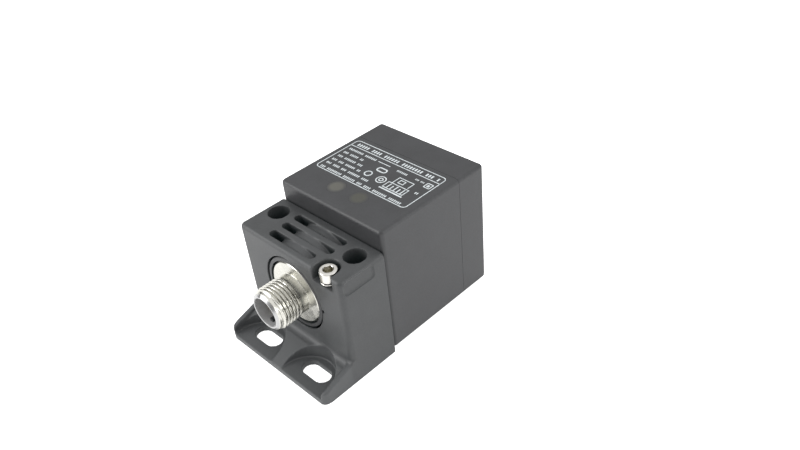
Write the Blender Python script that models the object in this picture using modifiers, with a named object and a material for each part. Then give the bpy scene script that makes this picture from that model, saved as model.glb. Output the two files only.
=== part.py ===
"""Rectangular inductive proximity sensor: a turnable cube head on a screw-clamped mounting base.

The origin is on the base's mounting face, midway between its two fixing holes. +Z points up out of
the mounting face, and +Y runs from the connector to the sensing face.
"""

import math

import bmesh
import bpy
from mathutils import Matrix, Vector

MM = 0.001
GAP = 0.3 * MM  # clearance between neighbouring pieces
PAST = 1.0 * MM  # how far a cutter runs past the face it opens

# Mounting base: a block with a flange in front of it
BASE_HALF_WIDTH = 20.0 * MM
BASE_FRONT = -9.8 * MM
SEAM = 5.0 * MM
BASE_TOP = 34.0 * MM
BLOCK_ROUND = 1.4 * MM
FLANGE_FRONT = -20.3 * MM
FLANGE_CORNER = 1.8 * MM
FLANGE_FLOOR = 1.8 * MM
FLANGE_NOSE = 1.1 * MM  # how far the ribs' front end leans back
RIB_BACK_HEIGHT = 7.2 * MM
RIB_FRONT_HEIGHT = 4.2 * MM
RIB_WIDTH = 1.8 * MM
BRIDGE_BACK_HEIGHT = 6.8 * MM
POCKET_RADIUS = 8.3 * MM
POCKET_X = 10.3 * MM
POCKET_Y = -18.3 * MM
SLOT_X = 10.2 * MM
SLOT_Y = -14.5 * MM
SLOT_LENGTH = 9.4 * MM
SLOT_WIDTH = 4.8 * MM
FIXING_X = 15.0 * MM
FIXING_RADIUS = 3.0 * MM

# Swivel axis of the head, which is also the connector's axis
AXIS_HEIGHT = 20.25 * MM
BORE_RADIUS = 10.95 * MM
NOTCH_SIZE = 1.0 * MM

# Moulding relief slots over the bore, each with a deep well at its left end
RELIEF_ROWS = ((-6.7 * MM, 7.5 * MM), (-2.5 * MM, 9.8 * MM), (1.7 * MM, 9.8 * MM))  # place along Y, right end
RELIEF_LEFT = -9.8 * MM
RELIEF_WIDTH = 2.3 * MM
RELIEF_FLOOR_RADIUS = 13.0 * MM
WELL_RIGHT = -6.2 * MM
WELL_FLOOR_RADIUS = 11.9 * MM

# Shallow grip recess high on each side of the block
GRIP_FRONT = -8.6 * MM
GRIP_BACK = 1.3 * MM
GRIP_LOW = 29.0 * MM
GRIP_HIGH = 33.0 * MM
GRIP_DEPTH = 0.4 * MM
GRIP_CORNER = 1.0 * MM

# Lock screw, its recess and the clamp jaw it drives
SCREW_X = 13.1 * MM
SCREW_Y = -7.2 * MM
SCREW_HEAD_RADIUS = 2.4 * MM
SCREW_HEAD_BOTTOM = 30.6 * MM
SCREW_HEAD_TOP = 33.5 * MM
SCREW_RADIUS = 1.25 * MM
SCREW_END = 5.0 * MM
SCREW_EDGE = 0.3 * MM
SOCKET_ACROSS_FLATS = 2.5 * MM
SOCKET_DEPTH = 1.6 * MM
RECESS_X = 12.8 * MM
RECESS_RADIUS = 3.3 * MM
RECESS_FLOOR = 29.8 * MM
WASHER_RADIUS = 2.5 * MM
WASHER_HOLE = 1.7 * MM
WASHER_BOTTOM = 30.0 * MM
WASHER_TOP = 30.35 * MM
JAW_TRAVEL = 1.5 * MM
JAW_LEFT = 9.3 * MM
JAW_RIGHT = 16.7 * MM
JAW_FRONT = -9.0 * MM
JAW_BACK = -4.2 * MM
JAW_LOW = 7.2 * MM
JAW_HIGH = 14.4 * MM
RIDGE_LEFT = 6.5 * MM
RIDGE_FRONT = -7.8 * MM
RIDGE_RADIUS = 10.2 * MM
RIDGE_INSET = 0.5 * MM
THREAD_CLEARANCE = 0.2 * MM
POCKET_CLEARANCE = 0.4 * MM

# Head: housing and sensing cap
HEAD_HALF_WIDTH = 19.5 * MM
HEAD_HALF_HEIGHT = 19.75 * MM
HEAD_FRONT = SEAM + GAP
HEAD_BACK = 44.2 * MM
HEAD_ROUND = 1.2 * MM
CAP_JOINT = 34.0 * MM
JOINT_GAP = 0.2 * MM
WALL = 2.0 * MM
FRONT_WALL = 2.5 * MM
FACE_THICKNESS = 1.2 * MM
SPIGOT_HALF = 17.2 * MM
SPIGOT_START = 32.0 * MM
CAP_BORE_RADIUS = 16.6 * MM

# Neck of the head, which turns in the base's bore
NECK_RADIUS = 10.6 * MM
NECK_FRONT = -9.6 * MM
NECK_INNER_RADIUS = 8.6 * MM
NECK_WALL_FRONT = -8.2 * MM
NECK_WALL_BACK = -5.7 * MM
CAVITY_CORNER = 1.0 * MM
GROOVE_RADIUS = 9.9 * MM
GROOVE_FRONT = RIDGE_FRONT - GAP
GROOVE_BACK = JAW_BACK + GAP

# Connector
CONNECTOR_TIP = -19.5 * MM
TIP_RADIUS = 4.8 * MM
COLLAR_RADIUS = 5.4 * MM
COLLAR_LENGTH = 1.4 * MM
THREAD_RADIUS = 6.0 * MM
SHELL_BORE_RADIUS = 4.2 * MM
SHELL_BACK = -1.5 * MM
DISC_RADIUS = 9.2 * MM
DISC_FRONT = -9.45 * MM
DISC_BACK = -8.45 * MM
TAIL_RADIUS = 5.85 * MM
SEAL_RADIUS = 7.5 * MM
SEAL_SECTION = 0.42 * MM
SEAL_GROOVE_DEPTH = 0.9 * MM
SEAL_GROOVE_HALF_WIDTH = 0.7 * MM
SHELL_EDGE = 0.3 * MM
NUT_ACROSS_FLATS = 14.0 * MM
NUT_FRONT = -5.4 * MM
NUT_BACK = -2.9 * MM
CARRIER_RADIUS = 3.9 * MM
CARRIER_FRONT = -11.5 * MM
CARRIER_BACK = -2.5 * MM
KEY_WIDTH = 1.2 * MM
KEY_HEIGHT = 0.8 * MM
KEY_FRONT = -18.2 * MM
PIN_CIRCLE = 2.5 * MM
PIN_RADIUS = 0.5 * MM
PIN_TIP = -15.8 * MM
PIN_END = -1.0 * MM
PIN_ROUND = 0.35 * MM
PIN_CLEARANCE = 0.25 * MM

# Electronics inside the head
BOARD_HALF_WIDTH = 15.0 * MM
BOARD_FRONT = 9.0 * MM
BOARD_BACK = 31.0 * MM
BOARD_BOTTOM = 31.8 * MM
BOARD_TOP = 32.8 * MM
SOLDER_GAP = 0.1 * MM
CAN_RADIUS = 2.5 * MM
CAN_HEIGHT = 5.4 * MM
CAN_EDGE = 0.4 * MM
LED_X = 4.3 * MM
LED_Y = 12.3 * MM
LED_HEIGHT = 1.2 * MM
WINDOW_RADIUS = 2.5 * MM
WINDOW_STEM_RADIUS = 1.4 * MM
WINDOW_FLANGE = 1.6 * MM
WINDOW_GAP = 0.25 * MM
POTTING_TOP = 15.5 * MM
LEAD_RADIUS = 0.55 * MM
LEAD_RUN = 4.0 * MM  # straight lengths at a connector lead's two ends

# Sensing coil set behind the sensing face
CORE_RADIUS = 15.3 * MM
CORE_BACK = 35.2 * MM
CORE_FACE = 42.4 * MM
CORE_PLATE = 2.6 * MM
CORE_RIM_INNER = 13.2 * MM
CORE_POST_RADIUS = 5.6 * MM
CORE_POST_HOLE = 2.0 * MM
BOBBIN_BACK = 38.1 * MM
BOBBIN_FACE = 42.3 * MM
BOBBIN_RADIUS = 12.8 * MM
BOBBIN_BORE = 6.0 * MM
BOBBIN_WALL = 0.6 * MM
SHIELD_INNER = 15.7 * MM
SHIELD_RADIUS = 16.3 * MM
SHIELD_BACK = 34.6 * MM
SHIELD_FACE = 42.6 * MM
COIL_LEAD_X = 4.0 * MM
COIL_LEAD_HEIGHT = 28.75 * MM
COIL_LEAD_RADIUS = 0.3 * MM
COIL_LEAD_HOLE = 0.8 * MM

MATERIALS = {
    "base_plastic": ((0.135, 0.138, 0.140), 0.55, 0.0),
    "head_plastic": ((0.120, 0.122, 0.125), 0.50, 0.0),
    "nickel": ((0.78, 0.76, 0.70), 0.22, 1.0),
    "steel": ((0.72, 0.71, 0.68), 0.25, 1.0),
    "zinc": ((0.55, 0.56, 0.58), 0.45, 1.0),
    "insert_plastic": ((0.10, 0.10, 0.11), 0.50, 0.0),
    "gold": ((0.86, 0.64, 0.26), 0.25, 1.0),
    "seal_rubber": ((0.03, 0.03, 0.03), 0.80, 0.0),
    "board_green": ((0.03, 0.20, 0.09), 0.45, 0.0),
    "chip_black": ((0.03, 0.03, 0.035), 0.60, 0.0),
    "aluminium_can": ((0.75, 0.76, 0.78), 0.30, 1.0),
    "led_lens": ((0.80, 0.72, 0.35), 0.20, 0.0),
    "window": ((0.42, 0.40, 0.28), 0.30, 0.0),
    "ferrite": ((0.07, 0.07, 0.075), 0.70, 0.0),
    "bobbin_plastic": ((0.82, 0.80, 0.74), 0.50, 0.0),
    "copper": ((0.72, 0.32, 0.16), 0.35, 1.0),
    "resin": ((0.05, 0.05, 0.055), 0.35, 0.0),
    "lead_brown": ((0.22, 0.09, 0.04), 0.55, 0.0),
    "lead_white": ((0.80, 0.80, 0.78), 0.55, 0.0),
    "lead_blue": ((0.05, 0.14, 0.50), 0.55, 0.0),
    "lead_black": ((0.03, 0.03, 0.03), 0.55, 0.0),
}

FORWARD = Vector((0, -1, 0))  # from the sensing face to the connector
UP = Vector((0, 0, 1))


# ---------------------------------------------------------------- scene and materials


def clear_scene():
    for obj in list(bpy.data.objects):
        bpy.data.objects.remove(obj, do_unlink=True)


def new_collection(name):
    collection = bpy.data.collections.new(name)
    bpy.context.scene.collection.children.link(collection)
    return collection


def make_material(name, colour, roughness, metallic):
    material = bpy.data.materials.new(name)
    material.use_nodes = True
    shader = material.node_tree.nodes["Principled BSDF"]
    shader.inputs["Base Color"].default_value = (*colour, 1.0)
    shader.inputs["Roughness"].default_value = roughness
    shader.inputs["Metallic"].default_value = metallic
    material.diffuse_color = (*colour, 1.0)
    return material


clear_scene()
PARTS = new_collection("proximity_sensor")
CUTTERS = new_collection("cutters")


# ---------------------------------------------------------------- shapes


def add_object(name, mesh, location=(0, 0, 0), collection=CUTTERS):
    obj = bpy.data.objects.new(name, mesh)
    obj.location = location
    collection.objects.link(obj)
    if collection is CUTTERS:
        obj.hide_render = True
        obj.display_type = "WIRE"
    return obj


def object_from(name, bm, location=(0, 0, 0)):
    bmesh.ops.recalc_face_normals(bm, faces=bm.faces)
    mesh = bpy.data.meshes.new(name)
    bm.to_mesh(mesh)
    bm.free()
    return add_object(name, mesh, location)


def box(name, low, high, rounding=0.0, segments=3, chosen=None):
    """A box between two corners; chosen(edge) picks the edges that are rounded, or all of them."""
    low, high = Vector(low), Vector(high)
    bm = bmesh.new()
    bmesh.ops.create_cube(bm, size=1.0)
    bmesh.ops.scale(bm, vec=high - low, verts=bm.verts)
    if rounding:
        round_edges(bm, rounding, segments, chosen or (lambda edge: True))
    return object_from(name, bm, (low + high) / 2)


def round_edges(bm, radius, segments, chosen):
    edges = [edge for edge in bm.edges if chosen(edge)]
    bmesh.ops.bevel(
        bm, geom=edges, offset=radius, offset_type="OFFSET", segments=segments, profile=0.5, affect="EDGES"
    )


def middle(edge):
    return (edge.verts[0].co + edge.verts[1].co) / 2


def along(edge, axis):
    """True where an edge runs along the axis numbered 0, 1 or 2."""
    direction = edge.verts[1].co - edge.verts[0].co
    return abs(direction[axis]) > 0.99 * direction.length


def cylinder(name, radius, start, length, direction=UP, segments=48):
    """A round bar from the point start, running length along direction."""
    turn = direction.to_track_quat("Z", "Y").to_matrix().to_4x4()
    bm = bmesh.new()
    bmesh.ops.create_cone(
        bm, cap_ends=True, segments=segments, radius1=radius, radius2=radius, depth=length,
        matrix=turn @ Matrix.Translation((0, 0, length / 2)),
    )
    return object_from(name, bm, start)


def prism(name, outline, axis, low, high):
    """A flat outline in the plane across axis 0, 1 or 2, drawn out from low to high along it."""
    across = [number for number in range(3) if number != axis]
    bm = bmesh.new()
    corners = []
    for first, second in outline:
        point = [0.0, 0.0, 0.0]
        point[axis] = low
        point[across[0]] = first
        point[across[1]] = second
        corners.append(bm.verts.new(point))
    face = bm.faces.new(corners)
    drawn = bmesh.ops.extrude_face_region(bm, geom=[face])["geom"]
    shift = [0.0, 0.0, 0.0]
    shift[axis] = high - low
    moved = [part for part in drawn if isinstance(part, bmesh.types.BMVert)]
    bmesh.ops.translate(bm, vec=shift, verts=moved)
    return object_from(name, bm)


def arc(centre, radius, start, end, steps):
    """Points on a circle from one angle to another, in degrees."""
    points = []
    for step in range(steps + 1):
        angle = math.radians(start + (end - start) * step / steps)
        points.append((centre[0] + radius * math.cos(angle), centre[1] + radius * math.sin(angle)))
    return points


def slot(name, centre, length, width, low, high):
    """A vertical slot with round ends, longest along X."""
    reach = (length - width) / 2
    right = arc((centre[0] + reach, centre[1]), width / 2, -90, 90, 12)
    left = arc((centre[0] - reach, centre[1]), width / 2, 90, 270, 12)
    return prism(name, right + left, 2, low, high)


def turned(name, profile, direction, start, closed=False, steps=40):
    """A profile of (radius, height) points turned about direction through start.

    It runs down the outer side, from top to bottom; a closed one is a ring and comes back up inside.
    """
    count = len(profile)
    edges = [(index, index + 1) for index in range(count - 1)]
    if closed:
        edges.append((count - 1, 0))
    mesh = bpy.data.meshes.new(name)
    mesh.from_pydata([(radius, 0.0, height) for radius, height in profile], edges, [])
    obj = add_object(name, mesh, start)
    obj.rotation_mode = "QUATERNION"
    obj.rotation_quaternion = direction.to_track_quat("Z", "Y")
    screw = obj.modifiers.new("turn", "SCREW")
    screw.steps = steps
    screw.render_steps = steps
    screw.use_merge_vertices = True
    screw.merge_threshold = 0.01 * MM
    screw.use_smooth_shade = True
    return obj


def tube(name, inner, outer, low, high, direction, start, steps=40):
    profile = [(outer, high), (outer, low), (inner, low), (inner, high)]
    return turned(name, profile, direction, start, closed=True, steps=steps)


def hexagon(name, across_flats, start, length, direction):
    return cylinder(name, across_flats / math.sqrt(3), start, length, direction, segments=6)


def wire(name, points, radius):
    """A round wire through the points, made a mesh."""
    curve = bpy.data.curves.new(name, "CURVE")
    curve.dimensions = "3D"
    curve.bevel_depth = radius
    curve.bevel_resolution = 2
    curve.use_fill_caps = True
    spline = curve.splines.new("POLY")
    spline.points.add(len(points) - 1)
    for knot, point in zip(spline.points, points):
        knot.co = (*point, 1.0)
    guide = add_object(name + "_guide", curve)
    graph = bpy.context.evaluated_depsgraph_get()
    mesh = bpy.data.meshes.new_from_object(guide.evaluated_get(graph))
    bm = bmesh.new()
    bm.from_mesh(mesh)
    bmesh.ops.remove_doubles(bm, verts=bm.verts, dist=0.001 * MM)
    obj = object_from(name, bm)
    obj.matrix_world = guide.matrix_world
    bpy.data.objects.remove(guide, do_unlink=True)
    return obj


def bend(corners, radius, steps=4):
    """The corners of a path with each inner corner rounded."""
    path = [Vector(corners[0])]
    for before, corner, after in zip(corners, corners[1:], corners[2:]):
        corner = Vector(corner)
        enter = corner + (Vector(before) - corner).normalized() * radius
        leave = corner + (Vector(after) - corner).normalized() * radius
        for step in range(steps + 1):
            share = step / steps
            path.append(enter.lerp(corner, share).lerp(corner.lerp(leave, share), share))
    path.append(Vector(corners[-1]))
    return path


def combine(obj, other, operation):
    modifier = obj.modifiers.new(other.name, "BOOLEAN")
    modifier.operation = operation
    modifier.solver = "EXACT"
    modifier.object = other


def cut(obj, *cutters):
    for cutter in cutters:
        combine(obj, cutter, "DIFFERENCE")


def join(obj, *others):
    for other in others:
        combine(obj, other, "UNION")


def finish(obj, material, parent=None):
    """Moves a shape from the cutters to the parts, and gives it its material and parent."""
    CUTTERS.objects.unlink(obj)
    PARTS.objects.link(obj)
    obj.hide_render = False
    obj.display_type = "TEXTURED"
    obj.data.materials.append(MATERIAL[material])
    if parent:
        obj.parent = parent
        obj.matrix_parent_inverse = Matrix.Translation(parent.location).inverted()
    obj.data.shade_smooth()
    obj.data.set_sharp_from_angle(angle=math.radians(35))
    return obj


def pivot(name, location):
    empty = bpy.data.objects.new(name, None)
    empty.empty_display_size = 5 * MM
    empty.location = location
    PARTS.objects.link(empty)
    return empty


def on_axis(y=0.0):
    """A point on the swivel axis."""
    return Vector((0, y, AXIS_HEIGHT))


def through_base(name, radius, segments=96):
    """A round bar on the swivel axis that runs past the base's front and back."""
    length = SEAM - BASE_FRONT + 2 * PAST
    return cylinder(name, radius, on_axis(BASE_FRONT - PAST), length, -FORWARD, segments)


# ---------------------------------------------------------------- mounting base


def base_body():
    """Block and flange in one side outline, with the block's outer edges and flange corners rounded."""
    outline = [
        (SEAM, 0.0),
        (FLANGE_FRONT, 0.0),
        (FLANGE_FRONT, FLANGE_FLOOR),
        (FLANGE_FRONT + FLANGE_NOSE / 3, (FLANGE_FLOOR + RIB_FRONT_HEIGHT) / 2),
        (FLANGE_FRONT + FLANGE_NOSE, RIB_FRONT_HEIGHT),
        (BASE_FRONT, RIB_BACK_HEIGHT),
        (BASE_FRONT, BASE_TOP),
        (SEAM, BASE_TOP),
    ]
    body = prism("mounting_base", outline, 0, -BASE_HALF_WIDTH, BASE_HALF_WIDTH)
    bm = bmesh.new()
    bm.from_mesh(body.data)
    near = 0.01 * MM

    def block_edge(edge):
        place = middle(edge)
        high = place.z > RIB_BACK_HEIGHT
        on_top = abs(place.z - BASE_TOP) < near and place.y < SEAM - near
        front_corner = along(edge, 2) and abs(place.y - BASE_FRONT) < near
        return high and (on_top or front_corner)

    round_edges(bm, BLOCK_ROUND, 3, block_edge)
    bm.to_mesh(body.data)
    bm.free()
    return body


def flange_corner_cutter(side):
    """What is cut away to leave a flange corner round."""
    x = side * BASE_HALF_WIDTH
    centre = (x - side * FLANGE_CORNER, FLANGE_FRONT + FLANGE_CORNER)
    start = 270
    end = 360 if side > 0 else 180
    past = (x + side * PAST, FLANGE_FRONT - PAST)
    outline = arc(centre, FLANGE_CORNER, start, end, 6)
    outline += [(past[0], centre[1]), past, (centre[0], past[1])]
    return prism("flange_corner", outline, 2, -PAST, RIB_BACK_HEIGHT + PAST)


def between_ribs_cutter():
    """The wedge over the flange's sloping bridge, between its two side ribs."""
    half = BASE_HALF_WIDTH - RIB_WIDTH
    slope = (BRIDGE_BACK_HEIGHT - FLANGE_FLOOR) / (BASE_FRONT - FLANGE_FRONT)
    front = FLANGE_FRONT - PAST
    outline = [
        (BASE_FRONT, BRIDGE_BACK_HEIGHT),
        (front, FLANGE_FLOOR - slope * PAST),
        (front, BRIDGE_BACK_HEIGHT + PAST),
        (BASE_FRONT, BRIDGE_BACK_HEIGHT + PAST),
    ]
    return prism("between_ribs", outline, 0, -half, half)


def relief_floor():
    """What stays under the relief slots: round over the bore, with a step down into the wells."""
    step = math.degrees(math.acos(WELL_RIGHT / RELIEF_FLOOR_RADIUS))
    well_step = math.degrees(math.acos(WELL_RIGHT / WELL_FLOOR_RADIUS))
    outline = arc((0, AXIS_HEIGHT), RELIEF_FLOOR_RADIUS, 0, step, 32)
    outline += arc((0, AXIS_HEIGHT), WELL_FLOOR_RADIUS, well_step, 180, 16)
    bottom = AXIS_HEIGHT - 2 * PAST
    outline += [(-WELL_FLOOR_RADIUS, bottom), (RELIEF_FLOOR_RADIUS, bottom)]
    return prism("relief_floor", outline, 1, BASE_FRONT - PAST, SEAM + PAST)


def relief_cutter(y, right):
    """A slot from the top of the block down to the relief floor."""
    centre = ((RELIEF_LEFT + right) / 2, y)
    relief = slot("relief", centre, right - RELIEF_LEFT, RELIEF_WIDTH, AXIS_HEIGHT, BASE_TOP + PAST)
    cut(relief, relief_floor())
    return relief


def recess_cutter():
    """The lock screw's recess: round behind the screw and open at the block's front."""
    back = arc((RECESS_X, SCREW_Y), RECESS_RADIUS, 0, 180, 16)
    front = BASE_FRONT - PAST
    outline = back + [(RECESS_X - RECESS_RADIUS, front), (RECESS_X + RECESS_RADIUS, front)]
    return prism("screw_recess", outline, 2, RECESS_FLOOR, BASE_TOP + PAST)


def jaw_pocket_cutter():
    low = (RIDGE_LEFT - POCKET_CLEARANCE, JAW_FRONT - GAP, JAW_LOW - JAW_TRAVEL - POCKET_CLEARANCE)
    high = (JAW_RIGHT + GAP, JAW_BACK + GAP, JAW_HIGH + POCKET_CLEARANCE)
    return box("jaw_pocket", low, high)


def grip_cutter(side):
    inner = side * (BASE_HALF_WIDTH - GRIP_DEPTH)
    outer = side * (BASE_HALF_WIDTH + PAST)
    low = (min(inner, outer), GRIP_FRONT, GRIP_LOW)
    high = (max(inner, outer), GRIP_BACK, GRIP_HIGH)
    return box("grip_recess", low, high, GRIP_CORNER, 3, lambda edge: along(edge, 0))


def notch_cutter():
    """A small index notch at the right of the bore's mouth."""
    half = NOTCH_SIZE / 2
    low = (BORE_RADIUS - half, BASE_FRONT - PAST, AXIS_HEIGHT - half)
    high = (BORE_RADIUS + NOTCH_SIZE * 0.8, BASE_FRONT + NOTCH_SIZE, AXIS_HEIGHT + half)
    return box("index_notch", low, high)


def mounting_base():
    base = base_body()
    cut(base, flange_corner_cutter(-1), flange_corner_cutter(1), between_ribs_cutter())
    tall = BASE_TOP + 2 * PAST
    for side in (-1, 1):
        pocket = (side * POCKET_X, POCKET_Y, FLANGE_FLOOR)
        cut(base, cylinder("pocket", POCKET_RADIUS, pocket, RIB_BACK_HEIGHT))
        place = (side * SLOT_X, SLOT_Y)
        cut(base, slot("flange_slot", place, SLOT_LENGTH, SLOT_WIDTH, -PAST, RIB_BACK_HEIGHT))
        cut(base, cylinder("fixing_hole", FIXING_RADIUS, (side * FIXING_X, 0, -PAST), tall, UP, 40))
        cut(base, grip_cutter(side))
    cut(base, through_base("bore", BORE_RADIUS, 72))
    cut(base, *(relief_cutter(y, right) for y, right in RELIEF_ROWS))
    cut(base, recess_cutter())
    end = (SCREW_X, SCREW_Y, SCREW_END - 0.5 * MM)
    cut(base, cylinder("screw_hole", SCREW_RADIUS + GAP, end, RECESS_FLOOR + PAST - end[2], UP, 24))
    cut(base, jaw_pocket_cutter(), notch_cutter())
    return finish(base, "base_plastic")


# ---------------------------------------------------------------- lock screw and clamp jaw


def lock_screw(parent):
    """A socket-head cap screw, turning on its own axis."""
    profile = [
        (0, SCREW_HEAD_TOP),
        (SCREW_HEAD_RADIUS - SCREW_EDGE, SCREW_HEAD_TOP),
        (SCREW_HEAD_RADIUS, SCREW_HEAD_TOP - SCREW_EDGE),
        (SCREW_HEAD_RADIUS, SCREW_HEAD_BOTTOM),
        (SCREW_RADIUS, SCREW_HEAD_BOTTOM),
        (SCREW_RADIUS, SCREW_END + SCREW_EDGE),
        (SCREW_RADIUS - SCREW_EDGE, SCREW_END),
        (0, SCREW_END),
    ]
    screw = turned("lock_screw", profile, UP, (SCREW_X, SCREW_Y, 0), steps=32)
    socket_floor = (SCREW_X, SCREW_Y, SCREW_HEAD_TOP - SOCKET_DEPTH)
    cut(screw, hexagon("hex_socket", SOCKET_ACROSS_FLATS, socket_floor, SOCKET_DEPTH + PAST, UP))
    return finish(screw, "steel", parent)


def lock_washer(parent):
    foot = (SCREW_X, SCREW_Y, WASHER_BOTTOM)
    washer = tube("lock_washer", WASHER_HOLE, WASHER_RADIUS, 0, WASHER_TOP - WASHER_BOTTOM, UP, foot, 32)
    return finish(washer, "steel", parent)


def clamp_jaw(parent):
    """A tapped block beside the bore, with a curved ridge that enters the neck's groove."""
    jaw = box("clamp_jaw", (JAW_LEFT, JAW_FRONT, JAW_LOW), (JAW_RIGHT, JAW_BACK, JAW_HIGH), 0.4 * MM, 2)
    cut(jaw, through_base("jaw_clearance", BORE_RADIUS + THREAD_CLEARANCE))
    ridge = box(
        "jaw_ridge",
        (RIDGE_LEFT, RIDGE_FRONT, JAW_LOW + RIDGE_INSET),
        (SCREW_X, JAW_BACK - RIDGE_INSET, JAW_HIGH - RIDGE_INSET),
    )
    cut(ridge, through_base("ridge_hollow", RIDGE_RADIUS))
    join(jaw, ridge)
    foot = (SCREW_X, SCREW_Y, JAW_LOW - PAST)
    length = JAW_HIGH - JAW_LOW + 2 * PAST
    cut(jaw, cylinder("tapped_hole", SCREW_RADIUS + THREAD_CLEARANCE, foot, length, UP, 24))
    return finish(jaw, "zinc", parent)


# ---------------------------------------------------------------- head housing


def head_box(name, front, back, round_front, round_back):
    """A length of the head's square outline, with its long edges and one end's edges rounded."""
    low = Vector((-HEAD_HALF_WIDTH, front, AXIS_HEIGHT - HEAD_HALF_HEIGHT))
    high = Vector((HEAD_HALF_WIDTH, back, AXIS_HEIGHT + HEAD_HALF_HEIGHT))
    half = (back - front) / 2

    def chosen(edge):
        y = middle(edge).y
        at_front = abs(y + half) < 0.01 * MM
        at_back = abs(y - half) < 0.01 * MM
        return along(edge, 1) or (at_front and round_front) or (at_back and round_back)

    return box(name, low, high, HEAD_ROUND, 3, chosen)


def head_housing(parent):
    """Cup open towards the sensing cap, with a hollow neck that turns in the base."""
    housing = head_box("head_housing", HEAD_FRONT, CAP_JOINT, True, False)
    root = HEAD_FRONT + WALL / 2
    join(housing, cylinder("neck", NECK_RADIUS, on_axis(root), root - NECK_FRONT, FORWARD, 72))
    inner_width = HEAD_HALF_WIDTH - WALL
    inner_height = HEAD_HALF_HEIGHT - WALL
    low = (-inner_width, HEAD_FRONT + FRONT_WALL, AXIS_HEIGHT - inner_height)
    high = (inner_width, CAP_JOINT + PAST, AXIS_HEIGHT + inner_height)
    cut(housing, box("head_cavity", low, high, CAVITY_CORNER, 2, lambda edge: along(edge, 1)))
    neck_end = HEAD_FRONT + FRONT_WALL + PAST
    seat_depth = NECK_WALL_FRONT - NECK_FRONT + PAST
    wall = NECK_WALL_BACK - NECK_WALL_FRONT + 2 * PAST
    cut(
        housing,
        cylinder("neck_bore", NECK_INNER_RADIUS, on_axis(neck_end), neck_end - NECK_WALL_BACK, FORWARD, 64),
        cylinder("disc_seat", DISC_RADIUS + GAP, on_axis(NECK_WALL_FRONT), seat_depth, FORWARD, 64),
        cylinder("tail_hole", TAIL_RADIUS + GAP, on_axis(NECK_WALL_BACK + PAST), wall, FORWARD, 48),
        seal_groove_cutter(),
        jaw_groove_cutter(),
    )
    for side in (-1, 1):
        start = (side * LED_X, LED_Y, AXIS_HEIGHT + inner_height - PAST)
        cut(housing, cylinder("window_hole", WINDOW_RADIUS + WINDOW_GAP, start, WALL + 2 * PAST, UP, 32))
    return finish(housing, "head_plastic", parent)


def seal_groove_cutter():
    inner = SEAL_RADIUS - SEAL_GROOVE_HALF_WIDTH
    outer = SEAL_RADIUS + SEAL_GROOVE_HALF_WIDTH
    low = -NECK_WALL_FRONT - SEAL_GROOVE_DEPTH
    return tube("seal_groove", inner, outer, low, PAST - NECK_WALL_FRONT, FORWARD, on_axis(), 64)


def jaw_groove_cutter():
    """The groove round the neck that the clamp jaw's ridge enters."""
    outer = NECK_RADIUS + PAST
    return tube("jaw_groove", GROOVE_RADIUS, outer, -GROOVE_BACK, -GROOVE_FRONT, FORWARD, on_axis(), 72)


def sensing_cap(parent):
    """Deep cap with the sensing face, whose spigot enters the housing."""
    cap = head_box("sensing_cap", CAP_JOINT + JOINT_GAP, HEAD_BACK, False, True)
    low = (-SPIGOT_HALF, SPIGOT_START, AXIS_HEIGHT - SPIGOT_HALF)
    high = (SPIGOT_HALF, CAP_JOINT + PAST, AXIS_HEIGHT + SPIGOT_HALF)
    join(cap, box("spigot", low, high, CAVITY_CORNER, 2, lambda edge: along(edge, 1)))
    start = on_axis(SPIGOT_START - PAST)
    depth = HEAD_BACK - FACE_THICKNESS - start.y
    cut(cap, cylinder("cap_bore", CAP_BORE_RADIUS, start, depth, -FORWARD, 72))
    return finish(cap, "head_plastic", parent)


# ---------------------------------------------------------------- connector


def connector_shell(parent):
    """Threaded metal sleeve with a round shoulder disc; heights run towards the tip."""
    tip, front, back, tail = -CONNECTOR_TIP, -DISC_FRONT, -DISC_BACK, -SHELL_BACK
    edge = SHELL_EDGE
    lead = COLLAR_RADIUS - TIP_RADIUS
    profile = [
        (TIP_RADIUS, tip),
        (COLLAR_RADIUS, tip - lead),
        (COLLAR_RADIUS, tip - COLLAR_LENGTH),
        (THREAD_RADIUS, tip - COLLAR_LENGTH - lead),
        (THREAD_RADIUS, front),
        (DISC_RADIUS - edge, front),
        (DISC_RADIUS, front - edge),
        (DISC_RADIUS, back),
        (TAIL_RADIUS, back),
        (TAIL_RADIUS, tail),
        (SHELL_BORE_RADIUS, tail),
        (SHELL_BORE_RADIUS, tip),
    ]
    shell = turned("connector_shell", profile, FORWARD, on_axis(), closed=True, steps=56)
    return finish(shell, "nickel", parent)


def connector_seal(parent):
    """O-ring between the shoulder disc and the neck."""
    height = -NECK_WALL_FRONT - SEAL_SECTION
    profile = [
        (SEAL_RADIUS + across, height + up)
        for across, up in reversed(arc((0, 0), SEAL_SECTION, 0, 300, 5))
    ]
    seal = turned("connector_seal", profile, FORWARD, on_axis(), closed=True)
    return finish(seal, "seal_rubber", parent)


def connector_nut(parent):
    length = NUT_BACK - NUT_FRONT
    nut = hexagon("connector_nut", NUT_ACROSS_FLATS, on_axis(NUT_BACK), length, FORWARD)
    start = on_axis(NUT_BACK + PAST)
    cut(nut, cylinder("nut_hole", TAIL_RADIUS + GAP, start, length + 2 * PAST, FORWARD, 48))
    return finish(nut, "nickel", parent)


def pin_places():
    """Points on the axis plane where the contact pins sit, clockwise from the upper right."""
    reach = PIN_CIRCLE / math.sqrt(2)
    return [(reach, reach), (reach, -reach), (-reach, -reach), (-reach, reach)]


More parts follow.
